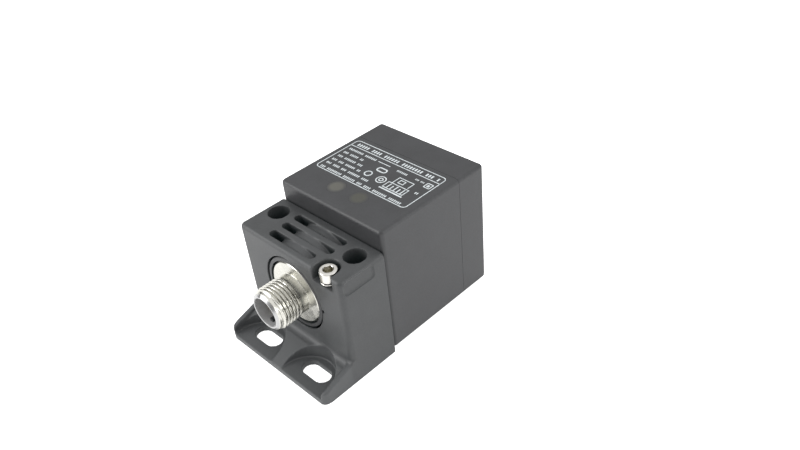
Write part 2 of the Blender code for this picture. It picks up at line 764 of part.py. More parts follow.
def contact_carrier(parent):
    """Insulating insert that holds the pins, with a coding key along the sleeve's wall."""
    depth = CARRIER_BACK - CARRIER_FRONT
    carrier = cylinder("contact_carrier", CARRIER_RADIUS, on_axis(CARRIER_BACK), depth, FORWARD, 48)
    bottom = AXIS_HEIGHT - CARRIER_RADIUS + 0.1 * MM  # keeps the key clear of the sleeve
    low = (-KEY_WIDTH / 2, KEY_FRONT, bottom)
    high = (KEY_WIDTH / 2, CARRIER_FRONT + PAST, bottom + KEY_HEIGHT)
    join(carrier, box("coding_key", low, high))
    for x, z in pin_places():
        start = (x, CARRIER_BACK + PAST, AXIS_HEIGHT + z)
        cut(carrier, cylinder("pin_hole", PIN_RADIUS + PIN_CLEARANCE, start, depth + 2 * PAST, FORWARD, 20))
    return finish(carrier, "insert_plastic", parent)


def contact_pin(number, place, parent):
    profile = [
        (0, -PIN_TIP),
        (PIN_RADIUS - PIN_ROUND, -PIN_TIP),
        (PIN_RADIUS, -PIN_TIP - PIN_ROUND),
        (PIN_RADIUS, -PIN_END),
        (0, -PIN_END),
    ]
    start = (place[0], 0, AXIS_HEIGHT + place[1])
    return finish(turned(f"contact_pin_{number}", profile, FORWARD, start, steps=20), "gold", parent)


def connector_lead(colour, place, landing_x, parent):
    """Insulated wire from a contact pin's tail to the underside of the circuit board."""
    x, z = place[0], AXIS_HEIGHT + place[1]
    landing_y = BOARD_FRONT + 3 * MM + place[1]
    corners = [
        (x, PIN_END + GAP, z),
        (x, PIN_END + LEAD_RUN, z),
        (landing_x, landing_y - 1 * MM, z + LEAD_RUN / 2),
        (landing_x, landing_y, BOARD_BOTTOM - LEAD_RUN),
        (landing_x, landing_y, BOARD_BOTTOM - GAP),
    ]
    return finish(wire(f"lead_{colour}", bend(corners, 1.4 * MM), LEAD_RADIUS), f"lead_{colour}", parent)


# ---------------------------------------------------------------- electronics


def board_box(name, x, y, width, length, height, material, parent):
    """A component standing on the board's upper side."""
    foot = BOARD_TOP + SOLDER_GAP
    low = (x - width / 2, y - length / 2, foot)
    high = (x + width / 2, y + length / 2, foot + height)
    return finish(box(name, low, high, 0.2 * MM, 1), material, parent)


def circuit_board(parent):
    low = (-BOARD_HALF_WIDTH, BOARD_FRONT, BOARD_BOTTOM)
    high = (BOARD_HALF_WIDTH, BOARD_BACK, BOARD_TOP)
    board = box("circuit_board", low, high, 1.0 * MM, 3, lambda edge: along(edge, 2))
    return finish(board, "board_green", parent)


def board_capacitor(parent):
    """Round can hanging under the board."""
    profile = [
        (0, 0),
        (CAN_RADIUS - CAN_EDGE, 0),
        (CAN_RADIUS, -CAN_EDGE),
        (CAN_RADIUS, CAN_EDGE - CAN_HEIGHT),
        (CAN_RADIUS - CAN_EDGE, -CAN_HEIGHT),
        (0, -CAN_HEIGHT),
    ]
    top = (-9 * MM, 24 * MM, BOARD_BOTTOM - GAP)
    return finish(turned("board_capacitor", profile, UP, top, steps=28), "aluminium_can", parent)


def status_led(name, side, parent):
    """Small lamp on the board under a window."""
    return board_box(name, side * LED_X, LED_Y, 2.0 * MM, 1.6 * MM, LED_HEIGHT, "led_lens", parent)


def led_window(name, side, parent):
    """Mushroom-shaped light guide, flush with the top of the housing."""
    top = AXIS_HEIGHT + HEAD_HALF_HEIGHT
    shoulder = top - WINDOW_FLANGE
    end = BOARD_TOP + SOLDER_GAP + LED_HEIGHT + 2 * GAP
    profile = [
        (0, top),
        (WINDOW_RADIUS, top),
        (WINDOW_RADIUS, shoulder),
        (WINDOW_STEM_RADIUS, shoulder),
        (WINDOW_STEM_RADIUS, end),
        (0, end),
    ]
    return finish(turned(name, profile, UP, (side * LED_X, LED_Y, 0), steps=32), "window", parent)


def potting_block(parent):
    """Cast resin in the lower half of the housing."""
    side = HEAD_HALF_WIDTH - WALL - GAP
    low = (-side, HEAD_FRONT + FRONT_WALL + GAP, AXIS_HEIGHT - HEAD_HALF_HEIGHT + WALL + GAP)
    high = (side, SPIGOT_START - GAP, POTTING_TOP)
    return finish(box("potting_block", low, high, CAVITY_CORNER, 2), "resin", parent)


# ---------------------------------------------------------------- sensing coil set


def shield_ring(parent):
    ring = tube("shield_ring", SHIELD_INNER, SHIELD_RADIUS, SHIELD_BACK, SHIELD_FACE, -FORWARD, on_axis(), 48)
    return finish(ring, "nickel", parent)


def ferrite_core(parent):
    """Pot core, open towards the sensing face, with two holes for the winding's ends."""
    floor = CORE_BACK + CORE_PLATE
    profile = [
        (CORE_RADIUS, CORE_FACE),
        (CORE_RADIUS, CORE_BACK),
        (CORE_POST_HOLE, CORE_BACK),
        (CORE_POST_HOLE, CORE_FACE),
        (CORE_POST_RADIUS, CORE_FACE),
        (CORE_POST_RADIUS, floor),
        (CORE_RIM_INNER, floor),
        (CORE_RIM_INNER, CORE_FACE),
    ]
    core = turned("ferrite_core", profile, -FORWARD, on_axis(), closed=True, steps=48)
    for side in (-1, 1):
        start = (side * COIL_LEAD_X, CORE_BACK - PAST, COIL_LEAD_HEIGHT)
        cut(core, cylinder("lead_hole", COIL_LEAD_HOLE, start, CORE_PLATE + 2 * PAST, -FORWARD, 20))
    return finish(core, "ferrite", parent)


def coil_bobbin(parent):
    hub = BOBBIN_BORE + BOBBIN_WALL
    profile = [
        (BOBBIN_RADIUS, BOBBIN_FACE),
        (BOBBIN_RADIUS, BOBBIN_FACE - BOBBIN_WALL),
        (hub, BOBBIN_FACE - BOBBIN_WALL),
        (hub, BOBBIN_BACK + BOBBIN_WALL),
        (BOBBIN_RADIUS, BOBBIN_BACK + BOBBIN_WALL),
        (BOBBIN_RADIUS, BOBBIN_BACK),
        (BOBBIN_BORE, BOBBIN_BACK),
        (BOBBIN_BORE, BOBBIN_FACE),
    ]
    return finish(turned("coil_bobbin", profile, -FORWARD, on_axis(), closed=True), "bobbin_plastic", parent)


def sensing_coil(parent):
    """The winding, as one ring between the bobbin's flanges."""
    inner = BOBBIN_BORE + BOBBIN_WALL + GAP
    low = BOBBIN_BACK + BOBBIN_WALL + GAP
    high = BOBBIN_FACE - BOBBIN_WALL - GAP
    coil = tube("sensing_coil", inner, BOBBIN_RADIUS - 0.5 * MM, low, high, -FORWARD, on_axis(), 40)
    return finish(coil, "copper", parent)


def coil_lead(number, side, parent):
    """Winding end, from the board's underside through the core's back plate."""
    x = side * COIL_LEAD_X
    corners = [
        (x, BOARD_BACK - 2 * MM, BOARD_BOTTOM - GAP),
        (x, BOARD_BACK - 2 * MM, COIL_LEAD_HEIGHT),
        (x, BOBBIN_BACK - GAP, COIL_LEAD_HEIGHT),
    ]
    return finish(wire(f"coil_lead_{number}", bend(corners, 1.2 * MM), COIL_LEAD_RADIUS), "copper", parent)


# ---------------------------------------------------------------- assembly

MATERIAL = {name: make_material(name, *values) for name, values in MATERIALS.items()}

mounting_base()

screw_axis = pivot("lock_screw_axis", (SCREW_X, SCREW_Y, SCREW_HEAD_BOTTOM))
lock_screw(screw_axis)
lock_washer(screw_axis)
jaw_slide = pivot("jaw_slide_axis", (SCREW_X, SCREW_Y, JAW_LOW))
clamp_jaw(jaw_slide)

head_axis = pivot("head_axis", on_axis(SEAM))
head_housing(head_axis)
sensing_cap(head_axis)
connector_shell(head_axis)
connector_seal(head_axis)
connector_nut(head_axis)
contact_carrier(head_axis)
LEADS = (("brown", 6 * MM), ("white", 3 * MM), ("blue", -3 * MM), ("black", -6 * MM))
for pin_number, (pin_place, (lead_colour, landing)) in enumerate(zip(pin_places(), LEADS), start=1):
    contact_pin(pin_number, pin_place, head_axis)
    connector_lead(lead_colour, pin_place, landing, head_axis)

circuit_board(head_axis)
board_box("sensor_chip", -6 * MM, 22 * MM, 5 * MM, 4 * MM, 1.5 * MM, "chip_black", head_axis)
board_box("output_transistor", 7 * MM, 21 * MM, 6.5 * MM, 5 * MM, 1.7 * MM, "chip_black", head_axis)
board_box("protection_diode", 7 * MM, 27 * MM, 4.3 * MM, 2.6 * MM, 1.2 * MM, "chip_black", head_axis)
board_capacitor(head_axis)
for led_number, led_side in enumerate((-1, 1), start=1):
    status_led(f"status_led_{led_number}", led_side, head_axis)
    led_window(f"led_window_{led_number}", led_side, head_axis)
potting_block(head_axis)

shield_ring(head_axis)
ferrite_core(head_axis)
coil_bobbin(head_axis)
sensing_coil(head_axis)
for lead_number, lead_side in enumerate((-1, 1), start=1):
    coil_lead(lead_number, lead_side, head_axis)
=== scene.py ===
"""Studio view of a rectangular inductive proximity sensor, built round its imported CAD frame.

The frame's row coordinates are used throughout: the origin is on the mounting face midway between the
fixing holes, +Z points up and +Y runs from the connector to the sensing face.
"""

import math
import random

import bmesh
import bpy
import numpy as np
from mathutils import Matrix, Vector


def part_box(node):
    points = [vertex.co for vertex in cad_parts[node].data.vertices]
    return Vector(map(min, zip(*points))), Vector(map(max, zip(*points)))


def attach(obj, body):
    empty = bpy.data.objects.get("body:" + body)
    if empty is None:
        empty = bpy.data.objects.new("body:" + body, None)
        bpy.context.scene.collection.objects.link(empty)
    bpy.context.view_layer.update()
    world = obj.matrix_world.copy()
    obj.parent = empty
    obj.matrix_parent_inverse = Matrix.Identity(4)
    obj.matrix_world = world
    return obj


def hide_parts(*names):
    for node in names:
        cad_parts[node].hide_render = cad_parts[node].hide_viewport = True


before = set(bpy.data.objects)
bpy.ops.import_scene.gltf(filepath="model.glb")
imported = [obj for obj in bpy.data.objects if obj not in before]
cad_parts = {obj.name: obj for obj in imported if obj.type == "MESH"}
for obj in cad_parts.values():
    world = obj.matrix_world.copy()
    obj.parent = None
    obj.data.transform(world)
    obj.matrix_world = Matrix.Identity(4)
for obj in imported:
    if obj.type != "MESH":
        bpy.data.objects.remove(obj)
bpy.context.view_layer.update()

MM = 0.001
PAST = 1.0 * MM  # how far a cutter runs past the face it opens
NEAR = 0.01 * MM  # places closer together than this count as the same
UP = Vector((0, 0, 1))
BACK = Vector((0, 1, 0))  # from the connector to the sensing face


# ---------------------------------------------------------------- sizes taken from the frame


def centre_of(node):
    low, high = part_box(node)
    return (low + high) / 2


BASE_LOW, BASE_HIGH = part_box("mounting_base")
CAP_LOW, CAP_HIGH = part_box("sensing_cap")
SHELL_LOW, SHELL_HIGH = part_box("connector_shell")
CARRIER_LOW, CARRIER_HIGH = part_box("contact_carrier")
SCREW_LOW, SCREW_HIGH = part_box("lock_screw")
WASHER_LOW, WASHER_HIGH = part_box("lock_washer")
AXIS_Z = centre_of("connector_shell").z
SCREW_PLACE = centre_of("lock_screw")

# Mounting base
HALF_WIDTH = BASE_HIGH.x
SEAM = BASE_HIGH.y
BASE_TOP = BASE_HIGH.z
FLANGE_FRONT = BASE_LOW.y
BLOCK_FRONT = -9.8 * MM
BLOCK_ROUND = 1.4 * MM
FLANGE_CORNER = 2.0 * MM
FLANGE_FLOOR = 1.8 * MM
RIB_BACK_HEIGHT = 7.2 * MM
RIB_FRONT_HEIGHT = 4.2 * MM
RIB_NOSE = 1.4 * MM
RIB_WIDTH = 1.7 * MM
BRIDGE_BACK_HEIGHT = 6.8 * MM
BRIDGE_FILLET = 2.0 * MM
RIB_FILLET = 1.0 * MM
POCKET = Vector((10.3, -18.3, 0)) * MM
POCKET_RADIUS = 8.3 * MM
FLANGE_SLOT = Vector((10.2, -14.5, 0)) * MM
FLANGE_SLOT_LENGTH = 9.4 * MM
FLANGE_SLOT_WIDTH = 4.8 * MM
FIXING_X = 15.0 * MM
FIXING_RADIUS = 3.0 * MM
BORE_RADIUS = 10.95 * MM
# Each relief slot's place along Y and its right end
RELIEF_ROWS = ((-6.7 * MM, 7.5 * MM), (-2.5 * MM, 9.8 * MM), (1.7 * MM, 9.8 * MM))
RELIEF_LEFT = -9.8 * MM
RELIEF_WIDTH = 2.3 * MM
RELIEF_FLOOR_RADIUS = 13.4 * MM
WELL_RIGHT = -6.2 * MM
WELL_FLOOR_RADIUS = 11.9 * MM
RECESS_X = 12.8 * MM
RECESS_RADIUS = 3.3 * MM
RECESS_FLOOR = 29.8 * MM
RECESS_FLARE = 1.5 * MM
RECESS_LIP = 0.3 * MM
GRIP_LOW = Vector((0, -8.6, 29.0)) * MM
GRIP_HIGH = Vector((0, 1.3, 33.0)) * MM
GRIP_DEPTH = 0.4 * MM
GRIP_CORNER = 1.0 * MM
NOTCH_SIZE = 1.0 * MM
SCREW_HOLE_RADIUS = 1.55 * MM
SCREW_HOLE_MARGIN = 0.5 * MM
JAW_POCKET_LOW = Vector((6.1, -9.3, 5.3)) * MM
JAW_POCKET_HIGH = Vector((17.0, -3.9, 14.8)) * MM
SKIN_VOXEL = 0.2 * MM
SKIN_KEPT = 0.45  # share of the skin's faces that stay

# Lock screw and washer
SCREW_HEAD_SEAT = 30.6 * MM
SCREW_RIM = 0.35 * MM
SCREW_SEAT_RIM = 0.15 * MM
SCREW_FLAT_RADIUS = 1.75 * MM
SHANK_RADIUS = 1.25 * MM
SHANK_TIP = 0.3 * MM
SOCKET_FLATS = 2.5 * MM
SOCKET_DEPTH = 1.6 * MM
COUNTERSINK_RADIUS = 1.45 * MM
COUNTERSINK_DEPTH = 0.2 * MM
WASHER_BORE_RADIUS = 1.7 * MM
WASHER_RIM = 0.12 * MM

# Head
HEAD_HALF_WIDTH = CAP_HIGH.x
HEAD_ROUND = 1.2 * MM
HEAD_FRONT = 5.3 * MM
PRINT_DEPTH = 0.03 * MM  # the head's top lies this far under the CAD box, which leaves room for the print
HEAD_TOP = CAP_HIGH.z - PRINT_DEPTH
HEAD_BOTTOM = CAP_LOW.z
JOINT = 34.1 * MM
JOINT_HALF_GAP = 0.04 * MM
WALL = 2.0 * MM
FRONT_WALL = 2.5 * MM
INNER_ROUND = 1.0 * MM
SPIGOT_HALF = 17.2 * MM
SPIGOT_START = CAP_LOW.y
CAP_BORE_RADIUS = 16.6 * MM
FACE_THICKNESS = 1.2 * MM
NECK_RADIUS = 10.6 * MM
NECK_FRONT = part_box("head_housing")[0].y
NECK_EDGE = 0.35 * MM
NECK_SEAT_RADIUS = 9.5 * MM
NECK_SEAT = -8.2 * MM
NECK_WALL_BACK = -5.7 * MM
NECK_BORE_RADIUS = 8.6 * MM
TAIL_HOLE_RADIUS = 6.15 * MM
GROOVE_RADIUS = 9.9 * MM
GROOVE_FRONT = -8.1 * MM
GROOVE_BACK = -3.9 * MM
WINDOW_X = 4.3 * MM
WINDOW_Y = 12.3 * MM
WINDOW_RADIUS = 2.7 * MM
WINDOW_GAP = 0.02 * MM
WINDOW_DEPTH = 1.6 * MM
WINDOW_STEM_RADIUS = 1.4 * MM

# Connector
TIP = SHELL_LOW.y
SHELL_END = SHELL_HIGH.y
SOCKET_RADIUS = 4.2 * MM
TIP_RADIUS = 4.75 * MM
ROOT_RADIUS = 5.4 * MM
CREST_RADIUS = 6.0 * MM
COLLAR_LENGTH = 1.1 * MM
PITCH = 1.0 * MM
THREAD_END = -11.9 * MM
PLAIN_RADIUS = 5.55 * MM
FADE = 0.7 * PITCH  # length over which the thread rises at each end
FLANK_FOOT = 0.82  # where the flank meets the root: 0 is the crest's middle line, 1 the root's
FLANK_SPAN = 0.66
FLANK_ROUNDNESS = 0.25
DISC_RADIUS = 9.2 * MM
DISC_FRONT = -9.45 * MM
DISC_BACK = -8.45 * MM
TAIL_RADIUS = 5.85 * MM
SHELL_RIM = 0.1 * MM
DISC_CHAMFER = 0.4 * MM
DISC_FILLET = 0.3 * MM
ROWS_PER_PITCH = 14
CARRIER_FACE = -11.5 * MM
CARRIER_RIM = 0.25 * MM
KEY_GAP = 0.1 * MM  # from the sleeve's wall
KEY_HALF_WIDTH = 0.6 * MM
KEY_HEIGHT = 0.8 * MM
KEY_ROUND = 0.2 * MM
PIN_HOLE_RADIUS = 0.7 * MM


# ---------------------------------------------------------------- mesh helpers


def add_object(name, mesh):
    obj = bpy.data.objects.new(name, mesh)
    bpy.context.scene.collection.objects.link(obj)
    return obj


def object_from(name, bm):
    bmesh.ops.recalc_face_normals(bm, faces=bm.faces)
    mesh = bpy.data.meshes.new(name)
    bm.to_mesh(mesh)
    bm.free()
    return add_object(name, mesh)


def bevel(bm, edges, radius, segments):
    bmesh.ops.bevel(
        bm, geom=edges, offset=radius, offset_type="OFFSET", segments=segments, profile=0.5, affect="EDGES"
    )


def middle(edge):
    return (edge.verts[0].co + edge.verts[1].co) / 2


def along(edge, axis):
    """True where an edge runs along the axis numbered 0, 1 or 2."""
    direction = edge.verts[1].co - edge.verts[0].co
    return abs(direction[axis]) > 0.99 * direction.length


def add_cuboid(bm, low, high):
    matrix = Matrix.Translation((low + high) / 2) @ Matrix.Diagonal((*(high - low), 1))
    bmesh.ops.create_cube(bm, size=1.0, matrix=matrix)


def rounded_box(name, low, high, radius=0.0, segments=4, chosen=None):
    """A box between two corners; chosen(edge) picks the edges that are rounded, or all of them."""
    bm = bmesh.new()
    add_cuboid(bm, Vector(low), Vector(high))
    if radius:
        bevel(bm, [edge for edge in bm.edges if chosen is None or chosen(edge)], radius, segments)
    return object_from(name, bm)


def arc(centre, radius, start, end, steps):
    """Points on a circle from one angle to another, in degrees."""
    angles = [math.radians(start + (end - start) * step / steps) for step in range(steps + 1)]
    return [(centre[0] + radius * math.cos(a), centre[1] + radius * math.sin(a)) for a in angles]


def prism(name, outline, axis, low, high):
    """A flat outline across the axis numbered 0, 1 or 2, drawn out from low to high."""
    across = [number for number in range(3) if number != axis]
    bm = bmesh.new()
    corners = []
    for first, second in outline:
        point = [0.0, 0.0, 0.0]
        point[axis], point[across[0]], point[across[1]] = low, first, second
        corners.append(bm.verts.new(point))
    face = bm.faces.new(corners)
    drawn = bmesh.ops.extrude_face_region(bm, geom=[face])["geom"]
    far_end = [part for part in drawn if isinstance(part, bmesh.types.BMVert)]
    shift = [0.0, 0.0, 0.0]
    shift[axis] = high - low
    bmesh.ops.translate(bm, vec=shift, verts=far_end)
    return object_from(name, bm)


def slot_outline(centre, length, width):
    """A slot with round ends, longest along X."""
    reach = (length - width) / 2
    right = arc((centre[0] + reach, centre[1]), width / 2, -90, 90, 16)
    return right + arc((centre[0] - reach, centre[1]), width / 2, 90, 270, 16)


def quarter_turn(centre, radius, start, steps):
    """Profile points on a rounded rim; start is the first one's angle from the axis, in radians."""
    angles = np.linspace(start, math.pi / 2, steps)
    return [(centre[0] + radius * math.sin(a), centre[1] + radius * math.cos(a)) for a in angles]


def turned(name, profile, origin, axis, steps=96, ring=False):
    """A profile of (radius, height) points turned about an axis; a ring's profile closes on itself."""
    turn = axis.to_track_quat("Z", "Y").to_matrix().to_4x4()
    bm = bmesh.new()
    points = [bm.verts.new((radius, 0, height)) for radius, height in profile]
    edges = [bm.edges.new(pair) for pair in zip(points, points[1:])]
    if ring:
        edges.append(bm.edges.new((points[-1], points[0])))
    bmesh.ops.spin(
        bm, geom=points + edges, cent=(0, 0, 0), axis=UP, angle=math.tau, steps=steps, use_merge=True
    )
    bmesh.ops.remove_doubles(bm, verts=bm.verts, dist=0.001 * MM)
    bmesh.ops.transform(bm, matrix=Matrix.Translation(origin) @ turn, verts=bm.verts)
    return object_from(name, bm)


def on_axis(y=0.0):
    """A point on the connector's axis."""
    return Vector((0, y, AXIS_Z))


def bar(name, radius, start, end, steps=64):
    """A round bar between two points."""
    start, end = Vector(start), Vector(end)
    length = (end - start).length
    return turned(name, [(0, length), (radius, length), (radius, 0), (0, 0)], start, end - start, steps)


def apply_modifiers(obj):
    graph = bpy.context.evaluated_depsgraph_get()
    mesh = bpy.data.meshes.new_from_object(obj.evaluated_get(graph))
    obj.modifiers.clear()
    old = obj.data
    obj.data = mesh
    bpy.data.meshes.remove(old)
    mesh.name = obj.name
    return obj


def combine(obj, others, operation):
    for other in others:
        modifier = obj.modifiers.new(other.name, "BOOLEAN")
        modifier.operation = operation
        modifier.solver = "EXACT"
        modifier.object = other
    apply_modifiers(obj)
    for other in others:
        bpy.data.objects.remove(other, do_unlink=True)
    return obj


def cut(obj, *cutters):
    return combine(obj, cutters, "DIFFERENCE")


def join(obj, *others):
    return combine(obj, others, "UNION")


def relax(obj, passes, chosen=None):
    """Smooths a skin's corners; chosen(place) picks the vertices that move."""
    smooth = obj.modifiers.new("relax", "SMOOTH")
    smooth.factor = 0.5
    smooth.iterations = passes
    if chosen:
        zone = obj.vertex_groups.new(name="zone")
        zone.add([vertex.index for vertex in obj.data.vertices if chosen(vertex.co)], 1.0, "REPLACE")
        smooth.vertex_group = zone.name
    apply_modifiers(obj)
    obj.vertex_groups.clear()


def soften(obj, voxel, passes, keep, softer_passes, softer):
    """Gives a moulded piece its soft edges: an even skin, relaxed, then thinned to the share keep.

    The vertices picked by softer(place) are relaxed for some more passes.
    """
    skin = obj.modifiers.new("skin", "REMESH")
    skin.mode = "VOXEL"
    skin.voxel_size = voxel
    apply_modifiers(obj)
    relax(obj, passes)
    relax(obj, softer_passes, softer)
    thin = obj.modifiers.new("thin", "DECIMATE")
    thin.ratio = keep
    return apply_modifiers(obj)


def smooth_shade(obj, degrees=40):
    """Smooth shading that keeps flat faces flat."""
    obj.data.shade_smooth()
    obj.data.set_sharp_from_angle(angle=math.radians(degrees))
    weighted = obj.modifiers.new("even_normals", "WEIGHTED_NORMAL")
    weighted.weight = 90
    weighted.keep_sharp = True
    return obj


def finish(obj, material, body, *nodes, slot=None):
    """Gives a piece its material and body, and hides the CAD nodes it stands for."""
    obj.data.materials.clear()
    obj.data.materials.append(MATERIAL[material])
    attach(obj, body)
    if nodes:
        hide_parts(*nodes)
    return obj


# ---------------------------------------------------------------- materials


def nodes_of(material):
    material.use_nodes = True
    tree = material.node_tree
    return tree, tree.nodes["Principled BSDF"]


def link(tree, source, target):
    tree.links.new(source, target)


def scaled(colour, factor):
    return tuple(factor * channel for channel in colour)


def add_node(tree, kind, **values):
    """A node whose named inputs or settings are set; an input's name has spaces as underscores."""
    node = tree.nodes.new(kind)
    for key, value in values.items():
        if hasattr(node, key):
            setattr(node, key, value)
        else:
            node.inputs[key.replace("_", " ")].default_value = value
    return node


def mix_colours(tree, share, first, second):
    """Mixes two colours, each a triple or a node's output, by the share of the second."""
    node = tree.nodes.new("ShaderNodeMix")
    node.data_type = "RGBA"
    link(tree, share, node.inputs["Factor"])
    for key, colour in (("A", first), ("B", second)):
        if hasattr(colour, "links"):
            link(tree, colour, node.inputs[key])
        else:
            node.inputs[key].default_value = (*colour, 1)
    return node.outputs["Result"]


def spread(tree, value, low, high, to_low=0.0, to_high=1.0):
    """Maps values between low and high to another range, and clamps them to it."""
    node = tree.nodes.new("ShaderNodeMapRange")
    node.inputs["From Min"].default_value = low
    node.inputs["From Max"].default_value = high
    node.inputs["To Min"].default_value = to_low
    node.inputs["To Max"].default_value = to_high
    link(tree, value, node.inputs["Value"])
    return node.outputs["Result"]


def position(tree):
    return tree.nodes.new("ShaderNodeTexCoord").outputs["Object"]


def noise(tree, size, detail=3.0, roughness=0.55, where=None):
    """Noise whose grains are about size across, in metres."""
    node = add_node(tree, "ShaderNodeTexNoise", Scale=1 / size, Detail=detail, Roughness=roughness)
    link(tree, where or position(tree), node.inputs["Vector"])
    return node.outputs["Fac"]


def bump(tree, shader, height, depth):
    """Adds relief of the given depth in metres on top of what the shader already has."""
    node = add_node(tree, "ShaderNodeBump", Strength=1.0, Distance=depth)
    link(tree, height, node.inputs["Height"])
    previous = shader.inputs["Normal"].links
    if previous:
        link(tree, previous[0].from_socket, node.inputs["Normal"])
    link(tree, node.outputs["Normal"], shader.inputs["Normal"])


def shade_hollows(tree, colour, shade_colour):
    """Paints shade: turns a colour towards a dark shade colour where the surroundings close in."""
    nearby = add_node(tree, "ShaderNodeAmbientOcclusion", samples=8, Distance=8 * MM)
    depth = spread(tree, nearby.outputs["AO"], 0.12, 0.42, 1.0, 0.0)
    return mix_colours(tree, depth, colour, shade_colour)


def moulded_plastic(name, colour, roughness, grain=0.22 * MM, depth=0.010 * MM, front=None):
    """Dark moulded plastic with a fine spark-eroded grain and painted shade in its hollows.

    Where front is given, it is a place along Y and the factor on the colour in front of it, which paints
    light or shade there.
    """
    material = bpy.data.materials.new(name)
    tree, shader = nodes_of(material)
    clouds = noise(tree, 7 * MM, 4.0)
    fine = noise(tree, grain, 2.0, 0.6)
    speck = noise(tree, 0.5 * MM, 3.0)
    tone = mix_colours(tree, spread(tree, clouds, 0.35, 0.65), scaled(colour, 0.88), scaled(colour, 1.12))
    flecked = mix_colours(tree, spread(tree, speck, 0.45, 0.75, 0.0, 0.25), tone, scaled(colour, 1.6))
    # Painted light or shade: faces in front of the place along Y have their colour scaled by the factor
    if front:
        start, factor = front
        _, place = from_axis(tree, 1, on_axis())
        before = spread(tree, place, start, start + 0.8 * MM, 1.0, 0.0)
        flecked = mix_colours(tree, before, flecked, scaled(colour, factor))
    # Painted shade: hollows turn towards the dark teal shade colour
    link(tree, shade_hollows(tree, flecked, HOLLOW_SHADE_COLOUR), shader.inputs["Base Color"])
    gloss = spread(tree, clouds, 0.3, 0.7, roughness - 0.05, roughness + 0.05)
    link(tree, gloss, shader.inputs["Roughness"])
    shader.inputs["Specular IOR Level"].default_value = 0.5
    bump(tree, shader, fine, depth)
    bump(tree, shader, noise(tree, 4 * MM, 2.0), 0.02 * MM)
    return material


def from_axis(tree, axis, origin):
    """Distance from a line through origin along the axis numbered 0, 1 or 2, and the place along it."""
    place = position(tree)
    split = tree.nodes.new("ShaderNodeSeparateXYZ")
    link(tree, place, split.inputs["Vector"])
    offset = add_node(tree, "ShaderNodeVectorMath", operation="SUBTRACT")
    offset.inputs[1].default_value = origin
    link(tree, place, offset.inputs[0])
    across = add_node(tree, "ShaderNodeVectorMath", operation="MULTIPLY")
    across.inputs[1].default_value = [0.0 if number == axis else 1.0 for number in range(3)]
    link(tree, offset.outputs["Vector"], across.inputs[0])
    distance = add_node(tree, "ShaderNodeVectorMath", operation="LENGTH")
    link(tree, across.outputs["Vector"], distance.inputs[0])
    return distance.outputs["Value"], split.outputs[axis]


def lathe_lines(tree, distance, place):
    """Fine lines that run round an axis."""
    streak = tree.nodes.new("ShaderNodeCombineXYZ")
    link(tree, place, streak.inputs["X"])
    link(tree, distance, streak.inputs["Y"])
    return noise(tree, LATHE_LINE, 3.0, 0.7, streak.outputs["Vector"])


def turned_metal(name, colour, roughness, axis=1, depth=0.0015 * MM, rings=(), hollow=None):
    """Machined metal with fine lines round an axis.

    Each of the rings is a radius and the colour inside it; inside the last one the surface is matt.
    """
    material = bpy.data.materials.new(name)
    tree, shader = nodes_of(material)
    distance, place = from_axis(tree, axis, SCREW_PLACE if axis == 2 else on_axis())
    matt = rings[-1][0] if rings else 0.0
    link(tree, spread(tree, distance, matt, matt + RING_EDGE), shader.inputs["Metallic"])
    smudge = noise(tree, 2.5 * MM, 4.0)
    tone = mix_colours(tree, spread(tree, smudge, 0.3, 0.7), scaled(colour, 0.86), colour)
    for radius, inner in rings:
        inside = spread(tree, distance, radius, radius + RING_EDGE, 1.0, 0.0)
        tone = mix_colours(tree, inside, tone, inner)
    # Painted shade: where hollow is given, hollows turn towards that colour
    if hollow:
        tone = shade_hollows(tree, tone, hollow)
    link(tree, tone, shader.inputs["Base Color"])
    gloss = spread(tree, smudge, 0.3, 0.7, roughness * 0.75, roughness * 1.35)
    link(tree, gloss, shader.inputs["Roughness"])
    bump(tree, shader, lathe_lines(tree, distance, place), depth)
    bump(tree, shader, noise(tree, 0.4 * MM, 2.0), depth)
    return material


def grained(name, colour, roughness, metallic=0.0, size=0.6 * MM, contrast=0.15, depth=0.008 * MM):
    """A general surface with a two-tone grain, used for the pieces inside."""
    material = bpy.data.materials.new(name)
    tree, shader = nodes_of(material)
    shader.inputs["Metallic"].default_value = metallic
    grain = noise(tree, size, 4.0)
    low, high = scaled(colour, 1 - contrast), scaled(colour, 1 + contrast)
    link(tree, mix_colours(tree, spread(tree, grain, 0.3, 0.7), low, high), shader.inputs["Base Color"])
    gloss = spread(tree, grain, 0.3, 0.7, roughness * 0.85, roughness * 1.15)
    link(tree, gloss, shader.inputs["Roughness"])
    bump(tree, shader, grain, depth)
    return material


def window_plastic(name, side, centre_colour, rim_colour):
    """A light guide flush with the housing: pale in the middle, fading into the housing at its rim."""
    material = bpy.data.materials.new(name)
    tree, shader = nodes_of(material)
    distance, _ = from_axis(tree, 2, (side * WINDOW_X, WINDOW_Y, 0))
    share = spread(tree, distance, 0.55 * WINDOW_RADIUS, WINDOW_RADIUS)
    clouds = noise(tree, 1.2 * MM, 3.0)
    pale = mix_colours(tree, clouds, centre_colour, scaled(centre_colour, 0.85))
    link(tree, mix_colours(tree, share, pale, rim_colour), shader.inputs["Base Color"])
    shader.inputs["Roughness"].default_value = 0.45
    bump(tree, shader, noise(tree, 0.25 * MM, 2.0), 0.008 * MM)
    return material


def printed_ink(name):
    """White pad print, thin and a little broken at the edges."""
    material = bpy.data.materials.new(name)
    tree, shader = nodes_of(material)
    wear = noise(tree, 0.35 * MM, 3.0, 0.7)
    tone = mix_colours(tree, spread(tree, wear, 0.40, 0.62), (0.60, 0.66, 0.68), (0.90, 0.95, 0.96))
    link(tree, tone, shader.inputs["Base Color"])
    link(tree, spread(tree, wear, 0.3, 0.7, 0.45, 0.65), shader.inputs["Roughness"])
    bump(tree, shader, wear, 0.004 * MM)
    return material


